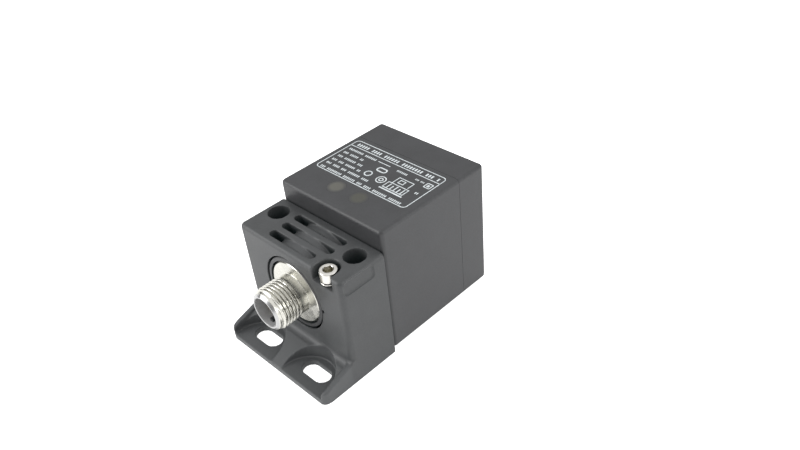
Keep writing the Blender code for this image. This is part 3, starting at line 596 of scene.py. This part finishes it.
def floor_surface(name):
    """Pale matt board, white where it is seen directly and much dimmer where it lights other surfaces."""
    material = bpy.data.materials.new(name)
    tree, shader = nodes_of(material)
    grain = noise(tree, 1.5 * MM, 3.0)
    tone = mix_colours(tree, grain, (0.86, 0.86, 0.86), (0.90, 0.90, 0.90))
    link(tree, tone, shader.inputs["Base Color"])
    shader.inputs["Roughness"].default_value = 0.9
    shader.inputs["Specular IOR Level"].default_value = 0.1
    shader.inputs["Emission Color"].default_value = (1, 1, 1, 1)
    path = tree.nodes.new("ShaderNodeLightPath")
    mirrored = spread(tree, path.outputs["Is Glossy Ray"], 0.0, 1.0, FLOOR_BOUNCE, FLOOR_MIRRORED)
    glow = add_node(tree, "ShaderNodeMath", operation="MAXIMUM")
    link(tree, path.outputs["Is Camera Ray"], glow.inputs[0])
    link(tree, mirrored, glow.inputs[1])
    link(tree, glow.outputs["Value"], shader.inputs["Emission Strength"])
    return material


HEAD_COLOUR = (0.050, 0.051, 0.054)
BASE_COLOUR = (0.062, 0.065, 0.067)
# Painted shade colour, mixed in where hollows close in
HOLLOW_SHADE_COLOUR = (0.019, 0.030, 0.032)
LATHE_LINE = 0.12 * MM
RING_EDGE = 0.08 * MM
NICKEL_RINGS = ((5.2 * MM, (0.50, 0.50, 0.50)), (4.3 * MM, (0.42, 0.42, 0.42)))
FLOOR_MIRRORED = 0.55  # how bright the floor is in glossy surfaces, next to 1 when seen directly
FLOOR_BOUNCE = 0.03  # what it gives to matt surfaces

MATERIAL = {
    # Painted light: the flange in front of the block is painted lighter
    "base_plastic": moulded_plastic("base_plastic", BASE_COLOUR, 0.46, front=(BLOCK_FRONT - 1 * MM, 1.38)),
    # Painted shade: the head's front strip is painted darker
    "head_plastic": moulded_plastic(
        "head_plastic", HEAD_COLOUR, 0.44, 0.18 * MM, 0.007 * MM, front=(HEAD_FRONT + 0.2 * MM, 0.9)
    ),
    "nickel": turned_metal("nickel", (0.70, 0.69, 0.635), 0.25, rings=NICKEL_RINGS),
    # Painted shade: the socket and the gap under the head turn olive
    "steel": turned_metal("steel", (0.76, 0.74, 0.70), 0.24, axis=2, hollow=(0.20, 0.18, 0.10)),
    "gold": turned_metal("gold", (0.86, 0.64, 0.26), 0.25),
    "insert_plastic": moulded_plastic("insert_plastic", (0.035, 0.035, 0.038), 0.45),
    "window_left": window_plastic("window_left", -1, (0.125, 0.123, 0.106), HEAD_COLOUR),
    "window_right": window_plastic("window_right", 1, (0.078, 0.078, 0.064), HEAD_COLOUR),
    "print_white": printed_ink("print_white"),
    "zinc": grained("zinc", (0.50, 0.51, 0.53), 0.42, 1.0, 0.8 * MM),
    "seal_rubber": grained("seal_rubber", (0.025, 0.025, 0.025), 0.75, size=0.3 * MM),
    "board_green": grained("board_green", (0.03, 0.19, 0.08), 0.40, size=1.6 * MM, contrast=0.3),
    "chip_black": grained("chip_black", (0.028, 0.028, 0.032), 0.55, size=0.25 * MM),
    "aluminium_can": grained("aluminium_can", (0.72, 0.73, 0.75), 0.30, 1.0, 0.7 * MM, 0.06),
    "led_lens": grained("led_lens", (0.80, 0.72, 0.35), 0.25, size=0.8 * MM),
    "ferrite": grained(
        "ferrite", (0.06, 0.06, 0.065), 0.65, size=0.35 * MM, contrast=0.3, depth=0.02 * MM
    ),
    "bobbin_plastic": grained("bobbin_plastic", (0.78, 0.76, 0.69), 0.48, size=0.9 * MM, contrast=0.05),
    "copper": turned_metal("copper", (0.72, 0.32, 0.16), 0.30, depth=0.01 * MM),
    "resin": grained("resin", (0.040, 0.040, 0.045), 0.30, size=2.5 * MM, contrast=0.2, depth=0.03 * MM),
    "lead_brown": grained("lead_brown", (0.20, 0.08, 0.035), 0.50, size=0.5 * MM),
    "lead_white": grained("lead_white", (0.75, 0.75, 0.73), 0.50, size=0.5 * MM, contrast=0.05),
    "lead_blue": grained("lead_blue", (0.04, 0.12, 0.45), 0.50, size=0.5 * MM),
    "lead_black": grained("lead_black", (0.025, 0.025, 0.025), 0.50, size=0.5 * MM),
    "floor": floor_surface("floor"),
}


# ---------------------------------------------------------------- mounting base


def fillet(front_height, back_height, radius):
    """The hollow curve from a slope on the flange up into the block's front face."""
    slope = (back_height - front_height) / (BLOCK_FRONT - FLANGE_FRONT)
    start = back_height - slope * radius
    return arc((BLOCK_FRONT - radius, start + radius), radius, -90, 0, 8)


def base_block():
    """Block and flange in one side outline; the ribs' front ends round down to the flange's lip."""
    nose_centre = (FLANGE_FRONT + RIB_NOSE, RIB_FRONT_HEIGHT - RIB_NOSE)
    outline = [(SEAM, 0), (FLANGE_FRONT, 0)]
    outline += arc(nose_centre, RIB_NOSE, 180, 100, 8)
    outline += fillet(RIB_FRONT_HEIGHT, RIB_BACK_HEIGHT, RIB_FILLET)
    outline += [(BLOCK_FRONT, BASE_TOP), (SEAM, BASE_TOP)]
    body = prism("base_moulding", outline, 0, -HALF_WIDTH, HALF_WIDTH)
    bm = bmesh.new()
    bm.from_mesh(body.data)

    def block_edge(edge):
        place = middle(edge)
        on_top = abs(place.z - BASE_TOP) < NEAR and place.y < SEAM - NEAR
        front_corner = along(edge, 2) and abs(place.y - BLOCK_FRONT) < NEAR
        return place.z > RIB_BACK_HEIGHT and (on_top or front_corner)

    bevel(bm, [edge for edge in bm.edges if block_edge(edge)], BLOCK_ROUND, 5)
    bm.to_mesh(body.data)
    bm.free()
    return body


def flange_corner(side):
    """What is cut away to leave a flange corner round."""
    x = side * HALF_WIDTH
    centre = (x - side * FLANGE_CORNER, FLANGE_FRONT + FLANGE_CORNER)
    outline = arc(centre, FLANGE_CORNER, 270, 360 if side > 0 else 180, 10)
    past = (x + side * PAST, FLANGE_FRONT - PAST)
    outline += [(past[0], centre[1]), past, (centre[0], past[1])]
    return prism("flange_corner", outline, 2, -PAST, RIB_BACK_HEIGHT + PAST)


def between_ribs():
    """The wedge over the flange's sloping bridge, between its two side ribs."""
    half = HALF_WIDTH - RIB_WIDTH
    slope = (BRIDGE_BACK_HEIGHT - FLANGE_FLOOR) / (BLOCK_FRONT - FLANGE_FRONT)
    front = FLANGE_FRONT - PAST
    outline = fillet(FLANGE_FLOOR, BRIDGE_BACK_HEIGHT, BRIDGE_FILLET)
    top = outline[-1][1] + PAST
    outline += [(BLOCK_FRONT, top), (front, top), (front, FLANGE_FLOOR - slope * PAST)]
    return prism("between_ribs", outline, 0, -half, half)


def relief_floor():
    """What stays under the relief slots: round over the bore, with a step down into the wells."""
    step = math.degrees(math.acos(WELL_RIGHT / RELIEF_FLOOR_RADIUS))
    well_step = math.degrees(math.acos(WELL_RIGHT / WELL_FLOOR_RADIUS))
    outline = arc((0, AXIS_Z), RELIEF_FLOOR_RADIUS, 0, step, 48)
    outline += arc((0, AXIS_Z), WELL_FLOOR_RADIUS, well_step, 180, 24)
    bottom = AXIS_Z - 2 * PAST
    outline += [(-WELL_FLOOR_RADIUS, bottom), (RELIEF_FLOOR_RADIUS, bottom)]
    return prism("relief_floor", outline, 1, BLOCK_FRONT - PAST, SEAM + PAST)


def relief_slot(y, right):
    """A slot from the top of the block down to the relief floor."""
    centre = ((RELIEF_LEFT + right) / 2, y)
    outline = slot_outline(centre, right - RELIEF_LEFT, RELIEF_WIDTH)
    return cut(prism("relief", outline, 2, AXIS_Z, BASE_TOP + PAST), relief_floor())


def screw_recess(grow, floor):
    """Round behind the screw and open at the block's front, where its right edge flares out."""
    radius = RECESS_RADIUS + grow
    right, left, front = RECESS_X + radius, RECESS_X - radius, BLOCK_FRONT - PAST
    outline = arc((RECESS_X, SCREW_PLACE.y), radius, 0, 180, 24)
    outline += [(left, front), (right + RECESS_FLARE, front)]
    outline += arc((right + RECESS_FLARE, BLOCK_FRONT + RECESS_FLARE), RECESS_FLARE, 270, 180, 8)
    return prism("screw_recess", outline, 2, floor, BASE_TOP + PAST)


def grip_recess(side):
    faces = sorted((side * (HALF_WIDTH - GRIP_DEPTH), side * (HALF_WIDTH + PAST)))
    low = (faces[0], GRIP_LOW.y, GRIP_LOW.z)
    high = (faces[1], GRIP_HIGH.y, GRIP_HIGH.z)
    return rounded_box("grip_recess", low, high, GRIP_CORNER, 4, lambda edge: along(edge, 0))


def index_notch():
    """A small mark at the right of the bore's mouth."""
    half = NOTCH_SIZE / 2
    low = (BORE_RADIUS - half, BLOCK_FRONT - PAST, AXIS_Z - half)
    high = (BORE_RADIUS + 0.8 * NOTCH_SIZE, BLOCK_FRONT + NOTCH_SIZE, AXIS_Z + half)
    return rounded_box("index_notch", low, high)


def on_rib(place):
    """True above the flange's floor on its two side ribs."""
    return abs(place.x) > HALF_WIDTH - RIB_WIDTH and place.z > FLANGE_FLOOR and place.y < BLOCK_FRONT


def base_moulding():
    base = base_block()
    cutters = [flange_corner(-1), flange_corner(1), between_ribs()]
    for side in (-1, 1):
        pocket = Vector((side * POCKET.x, POCKET.y, FLANGE_FLOOR))
        cutters.append(bar("pocket", POCKET_RADIUS, pocket, pocket + RIB_BACK_HEIGHT * UP, 96))
        place = (side * FLANGE_SLOT.x, FLANGE_SLOT.y)
        outline = slot_outline(place, FLANGE_SLOT_LENGTH, FLANGE_SLOT_WIDTH)
        cutters.append(prism("flange_slot", outline, 2, -PAST, RIB_BACK_HEIGHT))
        hole = Vector((side * FIXING_X, 0, -PAST))
        cutters.append(bar("fixing_hole", FIXING_RADIUS, hole, hole + (BASE_TOP + 2 * PAST) * UP))
        cutters.append(grip_recess(side))
    cutters.append(bar("bore", BORE_RADIUS, on_axis(BLOCK_FRONT - PAST), on_axis(SEAM + PAST), 128))
    cutters += [relief_slot(y, right) for y, right in RELIEF_ROWS]
    cutters += [screw_recess(0, RECESS_FLOOR), screw_recess(RECESS_LIP, BASE_TOP - RECESS_LIP)]
    foot = Vector((SCREW_PLACE.x, SCREW_PLACE.y, SCREW_LOW.z - SCREW_HOLE_MARGIN))
    cutters.append(bar("screw_hole", SCREW_HOLE_RADIUS, foot, (foot.x, foot.y, RECESS_FLOOR + PAST), 32))
    cutters.append(rounded_box("jaw_pocket", JAW_POCKET_LOW, JAW_POCKET_HIGH))
    cutters.append(index_notch())
    cut(base, *cutters)
    soften(base, SKIN_VOXEL, passes=5, keep=SKIN_KEPT, softer_passes=24, softer=on_rib)
    smooth_shade(base)
    return finish(base, "base_plastic", "base", "mounting_base")


# ---------------------------------------------------------------- lock screw and washer


def hexagon_profile(across_flats, height):
    """Turned in six steps, this gives a hexagonal bar."""
    corner = across_flats / math.sqrt(3)
    return [(0, height), (corner, height), (corner, 0), (0, 0)]


def lock_screw_piece():
    """Socket-head cap screw; its head has a rounded rim and a countersunk hexagon."""
    radius = SCREW_HIGH.x - SCREW_PLACE.x
    top, foot, seat = SCREW_HIGH.z, SCREW_LOW.z, SCREW_HEAD_SEAT
    profile = [(0, top), (SCREW_FLAT_RADIUS, top)]
    profile += quarter_turn((radius - SCREW_RIM, top - SCREW_RIM), SCREW_RIM, 0, 6)
    profile += [(radius, seat + SCREW_SEAT_RIM), (radius - SCREW_SEAT_RIM, seat), (SHANK_RADIUS, seat)]
    profile += [(SHANK_RADIUS, foot + SHANK_TIP), (SHANK_RADIUS - SHANK_TIP, foot), (0, foot)]
    place = Vector((SCREW_PLACE.x, SCREW_PLACE.y, 0))
    screw = turned("cap_screw", profile, place, UP, 72)
    hexagon = hexagon_profile(SOCKET_FLATS, SOCKET_DEPTH + PAST)
    socket = turned("socket", hexagon, place + (top - SOCKET_DEPTH) * UP, UP, 6)
    lead = [(0, PAST), (COUNTERSINK_RADIUS + PAST, PAST)]
    lead += [(SHANK_RADIUS, -COUNTERSINK_DEPTH), (0, -COUNTERSINK_DEPTH)]
    countersink = turned("countersink", lead, place + top * UP, UP, 48)
    cut(screw, socket, countersink)
    smooth_shade(screw, 30)
    return finish(screw, "steel", "lock_screw", "lock_screw")


def washer_piece():
    """Thin ring under the screw's head, with rounded rims."""
    outer = WASHER_HIGH.x - SCREW_PLACE.x
    low, high = WASHER_LOW.z, WASHER_HIGH.z
    rim = WASHER_RIM
    profile = [(outer - rim, high), (outer, high - rim), (outer, low + rim), (outer - rim, low)]
    profile += [(WASHER_BORE_RADIUS, low), (WASHER_BORE_RADIUS, high)]
    washer = turned("spring_washer", profile, Vector((SCREW_PLACE.x, SCREW_PLACE.y, 0)), UP, 72, ring=True)
    smooth_shade(washer, 30)
    return finish(washer, "steel", "lock_screw", "lock_washer")


# ---------------------------------------------------------------- head


def head_length(name, front, back, round_front, round_back):
    """A length of the head's square outline, with its long edges and one end's edges rounded."""
    low = Vector((-HEAD_HALF_WIDTH, front, HEAD_BOTTOM))
    high = Vector((HEAD_HALF_WIDTH, back, HEAD_TOP))

    def chosen(edge):
        y = middle(edge).y
        at_front, at_back = abs(y - front) < NEAR, abs(y - back) < NEAR
        return along(edge, 1) or (round_front and at_front) or (round_back and at_back)

    return rounded_box(name, low, high, HEAD_ROUND, 6, chosen)


def neck():
    """The hollow stub that turns in the base, with a rounded front edge and the clamp's groove."""
    root = HEAD_FRONT + WALL / 2
    front, groove_front, groove_back = root - NECK_FRONT, root - GROOVE_FRONT, root - GROOVE_BACK
    profile = [(0, front), (NECK_RADIUS - NECK_EDGE, front)]
    profile += quarter_turn((NECK_RADIUS - NECK_EDGE, front - NECK_EDGE), NECK_EDGE, 0.2, 5)
    profile += [(NECK_RADIUS, groove_front), (GROOVE_RADIUS, groove_front)]
    profile += [(GROOVE_RADIUS, groove_back), (NECK_RADIUS, groove_back)]
    profile += [(NECK_RADIUS, 0), (0, 0)]
    return turned("neck", profile, on_axis(root), -BACK, 128)


def head_shell():
    """Cup open towards the sensing cap, with its neck and two window holes."""
    shell = head_length("head_shell", HEAD_FRONT, JOINT - JOINT_HALF_GAP, True, False)
    join(shell, neck())
    wall_back = HEAD_FRONT + FRONT_WALL
    low = (WALL - HEAD_HALF_WIDTH, wall_back, HEAD_BOTTOM + WALL)
    high = (HEAD_HALF_WIDTH - WALL, JOINT + PAST, HEAD_TOP - WALL)
    cutters = [
        rounded_box("cavity", low, high, INNER_ROUND, 3, lambda edge: along(edge, 1)),
        bar("neck_bore", NECK_BORE_RADIUS, on_axis(NECK_WALL_BACK), on_axis(wall_back + PAST), 96),
        bar("disc_seat", NECK_SEAT_RADIUS, on_axis(NECK_FRONT - PAST), on_axis(NECK_SEAT), 128),
        bar("tail_hole", TAIL_HOLE_RADIUS, on_axis(NECK_SEAT - PAST), on_axis(NECK_WALL_BACK + PAST)),
    ]
    for side in (-1, 1):
        place = Vector((side * WINDOW_X, WINDOW_Y, HEAD_TOP - WALL - PAST))
        cutters.append(bar("window_hole", WINDOW_RADIUS + WINDOW_GAP, place, place + (WALL + 2 * PAST) * UP))
    cut(shell, *cutters)
    smooth_shade(shell)
    return finish(shell, "head_plastic", "head", "head_housing")


def face_cap():
    """Deep cap with the sensing face, whose spigot enters the shell."""
    cap = head_length("face_cap", JOINT + JOINT_HALF_GAP, CAP_HIGH.y, False, True)
    low = (-SPIGOT_HALF, SPIGOT_START, AXIS_Z - SPIGOT_HALF)
    high = (SPIGOT_HALF, JOINT + PAST, AXIS_Z + SPIGOT_HALF)
    join(cap, rounded_box("spigot", low, high, INNER_ROUND, 3, lambda edge: along(edge, 1)))
    bore_floor = on_axis(CAP_HIGH.y - FACE_THICKNESS)
    cut(cap, bar("cap_bore", CAP_BORE_RADIUS, on_axis(SPIGOT_START - PAST), bore_floor, 96))
    smooth_shade(cap)
    return finish(cap, "head_plastic", "head", "sensing_cap")


def window_piece(name, side, node):
    """Mushroom-shaped light guide, flush with the housing; name is also its material's."""
    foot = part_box(node)[0].z
    shoulder = HEAD_TOP - WINDOW_DEPTH
    stem = WINDOW_STEM_RADIUS
    profile = [(0, HEAD_TOP), (WINDOW_RADIUS, HEAD_TOP), (WINDOW_RADIUS, shoulder), (stem, shoulder)]
    profile += [(stem, foot), (0, foot)]
    window = turned(name, profile, Vector((side * WINDOW_X, WINDOW_Y, 0)), UP, 64)
    smooth_shade(window, 30)
    return finish(window, name, "head", node, slot="window")


# ---------------------------------------------------------------- connector


def thread_height(turns):
    """Height of the thread's ridge, 0 at the root to 1 at the crest, at a place counted in pitches."""
    away = abs(turns % 1 - 0.5) * 2  # 0 on the crest's middle line, 1 on the root's
    slope = min(1, max(0, (FLANK_FOOT - away) / FLANK_SPAN))
    rounded = slope * slope * (3 - 2 * slope)
    return FLANK_ROUNDNESS * rounded + (1 - FLANK_ROUNDNESS) * slope


def cut_thread(mesh, start, end):
    """Raises a right-hand thread between two places on a turned sleeve."""
    for vertex in mesh.vertices:
        x, y, z = vertex.co
        z -= AXIS_Z
        radius = math.hypot(x, z)
        if start < y < end and radius > (ROOT_RADIUS + SOCKET_RADIUS) / 2:
            rise = thread_height(y / PITCH + math.atan2(z, x) / math.tau)
            fading = min(1, (y - start) / FADE, (end - y) / FADE)
            wanted = ROOT_RADIUS + (CREST_RADIUS - ROOT_RADIUS) * rise * fading
            vertex.co.x = x * wanted / radius
            vertex.co.z = AXIS_Z + z * wanted / radius


def plug_sleeve():
    """Threaded metal sleeve with a round shoulder disc; profile heights run towards the tip."""
    tip, front, back, tail = -TIP, -DISC_FRONT, -DISC_BACK, -SHELL_END
    lead = ROOT_RADIUS - TIP_RADIUS
    thread_start = TIP + COLLAR_LENGTH
    rows = round((THREAD_END - thread_start) / (PITCH / ROWS_PER_PITCH))
    chamfer, rim = DISC_CHAMFER, SHELL_RIM
    profile = [(SOCKET_RADIUS + rim, tip), (TIP_RADIUS - rim, tip), (TIP_RADIUS, tip - rim)]
    profile += [(ROOT_RADIUS, tip - lead)]
    profile += [(ROOT_RADIUS, -y) for y in np.linspace(thread_start, THREAD_END, rows)]
    profile += [(PLAIN_RADIUS, -THREAD_END - rim), (PLAIN_RADIUS, front + DISC_FILLET)]
    profile += [(PLAIN_RADIUS + rim, front + 0.8 * rim), (PLAIN_RADIUS + DISC_FILLET, front)]
    profile += [(DISC_RADIUS - chamfer, front), (DISC_RADIUS, front - chamfer), (DISC_RADIUS, back)]
    profile += [(TAIL_RADIUS, back), (TAIL_RADIUS, tail), (SOCKET_RADIUS, tail), (SOCKET_RADIUS, tip - rim)]
    sleeve = turned("plug_sleeve", profile, on_axis(), -BACK, 144, ring=True)
    cut_thread(sleeve.data, thread_start, THREAD_END)
    smooth_shade(sleeve, 30)
    return finish(sleeve, "nickel", "head", "connector_shell")


def pin_places():
    """Points across the axis where the contact pins sit."""
    centres = [centre_of(f"contact_pin_{number}") for number in range(1, 5)]
    return [Vector((centre.x, 0, centre.z)) for centre in centres]


def pin_carrier():
    """Insulating insert with four pin holes and a coding key along the sleeve's wall."""
    radius = CARRIER_HIGH.x
    front, back, rim = CARRIER_FACE, CARRIER_HIGH.y, CARRIER_RIM
    profile = [(0, -front), (radius - rim, -front), (radius, -front - rim), (radius, -back), (0, -back)]
    carrier = turned("pin_carrier", profile, on_axis(), -BACK, 96)
    foot = CARRIER_LOW.z + KEY_GAP
    low = (-KEY_HALF_WIDTH, CARRIER_LOW.y, foot)
    high = (KEY_HALF_WIDTH, front + PAST, foot + KEY_HEIGHT)
    key = rounded_box(
        "key", low, high, KEY_ROUND, 3, lambda edge: along(edge, 1) and middle(edge).z > foot
    )
    join(carrier, key)
    holes = []
    for place in pin_places():
        start = place + (front - PAST) * BACK
        holes.append(bar("pin_hole", PIN_HOLE_RADIUS, start, place + (back + PAST) * BACK, 32))
    cut(carrier, *holes)
    smooth_shade(carrier, 30)
    return finish(carrier, "insert_plastic", "head", "contact_carrier")


def contact_pin(number, place):
    """Turned pin with a round nose."""
    low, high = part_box(f"contact_pin_{number}")
    radius = (high.x - low.x) / 2
    nose = quarter_turn((0, -low.y - radius), radius, 0, 8)
    pin = turned(f"pin_{number}", nose + [(radius, -high.y), (0, -high.y)], place, -BACK, 32)
    smooth_shade(pin, 30)
    return finish(pin, "gold", "head", f"contact_pin_{number}")


# ---------------------------------------------------------------- printed label

LABEL_LEFT, LABEL_RIGHT = -17.2 * MM, 17.0 * MM
LABEL_FRONT, LABEL_BACK = 15.9 * MM, 32.6 * MM
LABEL_CORNER = 1.3 * MM
LABEL_DIVIDER = 29.4 * MM
LINE_WIDTH = 0.26 * MM
BOLD = 0.3 * MM
LEAST_RADIUS = 0.05 * MM
RING_POINTS = 48
INK_FOOT = HEAD_TOP - PRINT_DEPTH
INK_TOP = HEAD_TOP + 0.8 * PRINT_DEPTH

# Rows of ticks: left end, right end, place along Y and height of the row, in millimetres
TICK_ROWS = (
    (-16.6, 15.6, 30.2, 1.7),
    (-16.6, -4.8, 27.4, 1.15),
    (-16.6, -7.8, 25.2, 1.15),
    (-16.6, -5.8, 23.0, 1.15),
    (-16.6, -4.2, 20.8, 1.15),
    (-16.6, 1.4, 18.7, 1.15),
    (-16.6, 15.6, 16.5, 1.15),
    (2.6, 7.4, 27.2, 1.0),
    (9.6, 13.4, 27.2, 0.8),
    (13.6, 16.2, 22.4, 1.1),
)

# A tick's measures, as shares of its row's height
TICK_PITCH = 0.55
TICK_WIDTH = 0.30
TICK_HEIGHT = 0.72
GROUP_GAP = 1.3 * TICK_PITCH


def ink_block(bm, x, y, width, height):
    """A printed bar, with its lower left corner at x, y."""
    add_cuboid(bm, Vector((x, y, INK_FOOT)), Vector((x + width, y + height, INK_TOP)))


def ink_ring(bm, outer, inner):
    """A closed printed line between two outlines of equal count."""
    corners = ((outer, INK_FOOT), (outer, INK_TOP), (inner, INK_TOP), (inner, INK_FOOT))
    loops = [[bm.verts.new((x, y, height)) for x, y in outline] for outline, height in corners]
    count = len(outer)
    for first, second in zip(loops, loops[1:] + loops[:1]):
        for step in range(count):
            after = (step + 1) % count
            bm.faces.new((first[step], first[after], second[after], second[step]))


def rounded_outline(left, right, front, back, radius):
    points = arc((right - radius, back - radius), radius, 0, 90, 6)
    points += arc((left + radius, back - radius), radius, 90, 180, 6)
    points += arc((left + radius, front + radius), radius, 180, 270, 6)
    points += arc((right - radius, front + radius), radius, 270, 360, 6)
    return points


def ink_frame(bm, left, right, front, back, radius, width=LINE_WIDTH):
    outer = rounded_outline(left, right, front, back, radius)
    inner_radius = max(radius - width, LEAST_RADIUS)
    inner = rounded_outline(left + width, right - width, front + width, back - width, inner_radius)
    ink_ring(bm, outer, inner)


def circle(x, y, radius):
    return arc((x, y), radius, 0, 360 * (RING_POINTS - 1) / RING_POINTS, RING_POINTS - 1)


def ink_circle(bm, x, y, radius, width):
    ink_ring(bm, circle(x, y, radius), circle(x, y, radius - width))


def tick_row(bm, chance, left, right, y, height):
    """Groups of equal upright ticks, like a scale's: the look of small print, with nothing to read."""
    x = left
    group = 0
    while x + TICK_PITCH * height < right:
        if group == 0:
            group = chance.randint(3, 9)
            x += GROUP_GAP * height
        ink_block(bm, x, y, TICK_WIDTH * height, TICK_HEIGHT * height)
        x += TICK_PITCH * height
        group -= 1


def plain_symbols(bm):
    """A line, an oval, a ring, a ring in a ring and a square with a dot, which stand for nothing."""
    ink_block(bm, -4.2 * MM, 27.7 * MM, 4.6 * MM, LINE_WIDTH)
    ink_frame(bm, -1.9 * MM, 1.6 * MM, 24.2 * MM, 26.2 * MM, 0.9 * MM, 1.4 * BOLD)
    ink_circle(bm, -2.1 * MM, 21.9 * MM, 1.25 * MM, 0.35 * MM)
    ink_circle(bm, 2.9 * MM, 21.8 * MM, 1.55 * MM, BOLD)
    ink_circle(bm, 2.9 * MM, 21.8 * MM, 0.75 * MM, BOLD)
    ink_frame(bm, 14.0 * MM, 16.2 * MM, 26.0 * MM, 28.2 * MM, BOLD, BOLD)
    ink_block(bm, 14.7 * MM, 26.6 * MM, 0.8 * MM, 0.9 * MM)


def terminal_sketch(bm):
    """A generic terminal sketch: a strip with five ticks in a box, two leads and a symbol box."""
    left, right, front, back = 5.2 * MM, 12.6 * MM, 19.4 * MM, 22.6 * MM
    corner = 0.1 * MM
    ink_block(bm, left - 0.4 * MM, front - 0.5 * MM, right - left + 0.8 * MM, 0.45 * MM)
    ink_frame(bm, left, right, front + 0.3 * MM, back, corner)
    for step in range(1, 6):
        x = left + (right - left) * step / 6
        ink_block(bm, x, front + 0.6 * MM, 0.35 * MM, 1.6 * MM + 0.5 * MM * (step % 2))
    ink_block(bm, left + 1.0 * MM, back, LINE_WIDTH, 2.8 * MM)
    ink_block(bm, left + 1.0 * MM, back + 2.8 * MM, 5.4 * MM, LINE_WIDTH)
    ink_block(bm, left + 6.2 * MM, back + 0.4 * MM, LINE_WIDTH, 2.4 * MM)
    ink_frame(bm, left + 2.2 * MM, left + 4.2 * MM, back + 0.7 * MM, back + 2.3 * MM, corner)


def label_print():
    """The frame, rows and symbols on the head's top."""
    bm = bmesh.new()
    chance = random.Random(7)
    ink_frame(bm, LABEL_LEFT, LABEL_RIGHT, LABEL_FRONT, LABEL_BACK, LABEL_CORNER)
    ink_block(bm, LABEL_LEFT, LABEL_DIVIDER, LABEL_RIGHT - LABEL_LEFT, LINE_WIDTH)
    for row in TICK_ROWS:
        tick_row(bm, chance, *(MM * measure for measure in row))
    plain_symbols(bm)
    terminal_sketch(bm)
    return finish(object_from("label_print", bm), "print_white", "head")


# ---------------------------------------------------------------- pieces inside


def paint_inside():
    """Gives every CAD node that stays its own surface."""
    surfaces = {
        "clamp_jaw": "zinc", "connector_seal": "seal_rubber", "connector_nut": "nickel",
        "circuit_board": "board_green", "sensor_chip": "chip_black", "output_transistor": "chip_black",
        "protection_diode": "chip_black", "board_capacitor": "aluminium_can", "potting_block": "resin",
        "shield_ring": "nickel", "ferrite_core": "ferrite", "coil_bobbin": "bobbin_plastic",
        "sensing_coil": "copper", "coil_lead_1": "copper", "coil_lead_2": "copper",
        "status_led_1": "led_lens", "status_led_2": "led_lens",
    }
    for colour in ("brown", "white", "blue", "black"):
        surfaces[f"lead_{colour}"] = f"lead_{colour}"
    for node, surface in surfaces.items():
        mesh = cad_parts[node].data
        mesh.materials.clear()
        mesh.materials.append(MATERIAL[surface])


# ---------------------------------------------------------------- studio


FLOOR_GAP = 0.05 * MM
FLOOR_HALF_SIZE = 3.0
SOFTBOX_SIZE = 0.5
ROOM_LOW, ROOM_HIGH = 0.05, 0.75  # the heights on a unit sphere between which the room brightens
ROOM_DARK, ROOM_BRIGHT = (0.03, 0.03, 0.03), (1.08, 1.08, 1.08)


def add_floor():
    """A large floor just under the mounting face."""
    bm = bmesh.new()
    under = Matrix.Translation((0, 0, -FLOOR_GAP))
    bmesh.ops.create_grid(bm, x_segments=8, y_segments=8, size=FLOOR_HALF_SIZE, matrix=under)
    floor = object_from("floor", bm)
    floor.data.materials.append(MATERIAL["floor"])


def add_softbox(name, place, target, power):
    """A square area light at place, turned towards target; places are in metres, power in watts."""
    light = bpy.data.lights.new(name, "AREA")
    light.shape = "SQUARE"
    light.size = SOFTBOX_SIZE
    light.energy = power
    lamp = bpy.data.objects.new(name, light)
    lamp.location = place
    lamp.rotation_mode = "QUATERNION"
    lamp.rotation_quaternion = (Vector(place) - Vector(target)).to_track_quat("Z", "Y")
    bpy.context.scene.collection.objects.link(lamp)


def add_world():
    """Dark at the horizon and bright overhead, like a room under one wide ceiling light.

    Seen directly it is as white as the floor, so that no horizon shows.
    """
    world = bpy.data.worlds.new("studio")
    world.use_nodes = True
    tree = world.node_tree
    background = tree.nodes["Background"]
    split = tree.nodes.new("ShaderNodeSeparateXYZ")
    link(tree, tree.nodes.new("ShaderNodeTexCoord").outputs["Generated"], split.inputs["Vector"])
    share = spread(tree, split.outputs["Z"], ROOM_LOW, ROOM_HIGH)
    room = mix_colours(tree, share, ROOM_DARK, ROOM_BRIGHT)
    seen = tree.nodes.new("ShaderNodeLightPath").outputs["Is Camera Ray"]
    link(tree, mix_colours(tree, seen, room, (1, 1, 1)), background.inputs["Color"])
    bpy.context.scene.world = world


CAMERA_TARGET = Vector((6.3, 23.8, 25.36)) * MM
CAMERA_DISTANCE = 210.0 * MM
CAMERA_AZIMUTH = 47.70
CAMERA_ELEVATION = 36.34
CAMERA_ROLL = -5.89
CAMERA_LENS = 34.38


def add_camera():
    azimuth, elevation = math.radians(CAMERA_AZIMUTH), math.radians(CAMERA_ELEVATION)
    level_away = Vector((math.sin(azimuth), -math.cos(azimuth), 0))
    away = math.cos(elevation) * level_away + math.sin(elevation) * UP
    data = bpy.data.cameras.new("camera")
    data.lens = CAMERA_LENS
    data.clip_start = 0.01
    camera = bpy.data.objects.new("camera", data)
    camera.location = CAMERA_TARGET + CAMERA_DISTANCE * away
    level = away.to_track_quat("Z", "Y").to_matrix()
    camera.rotation_euler = (level @ Matrix.Rotation(math.radians(CAMERA_ROLL), 3, "Z")).to_euler()
    bpy.context.scene.collection.objects.link(camera)
    bpy.context.scene.camera = camera


# ---------------------------------------------------------------- assembly

base_moulding()
lock_screw_piece()
washer_piece()
head_shell()
face_cap()
window_piece("window_left", -1, "led_window_1")
window_piece("window_right", 1, "led_window_2")
plug_sleeve()
pin_carrier()
for pin_number, pin_place in enumerate(pin_places(), start=1):
    contact_pin(pin_number, pin_place)
label_print()
paint_inside()

add_floor()
add_world()
add_softbox("front_softbox", (-0.55, -0.75, 0.35), (0, 0, 0.02), 4.4)
add_softbox("right_softbox", (0.95, 0.35, 0.40), (0, 0.01, 0.02), 3.2)
add_camera()
bpy.context.scene.view_settings.view_transform = "Standard"
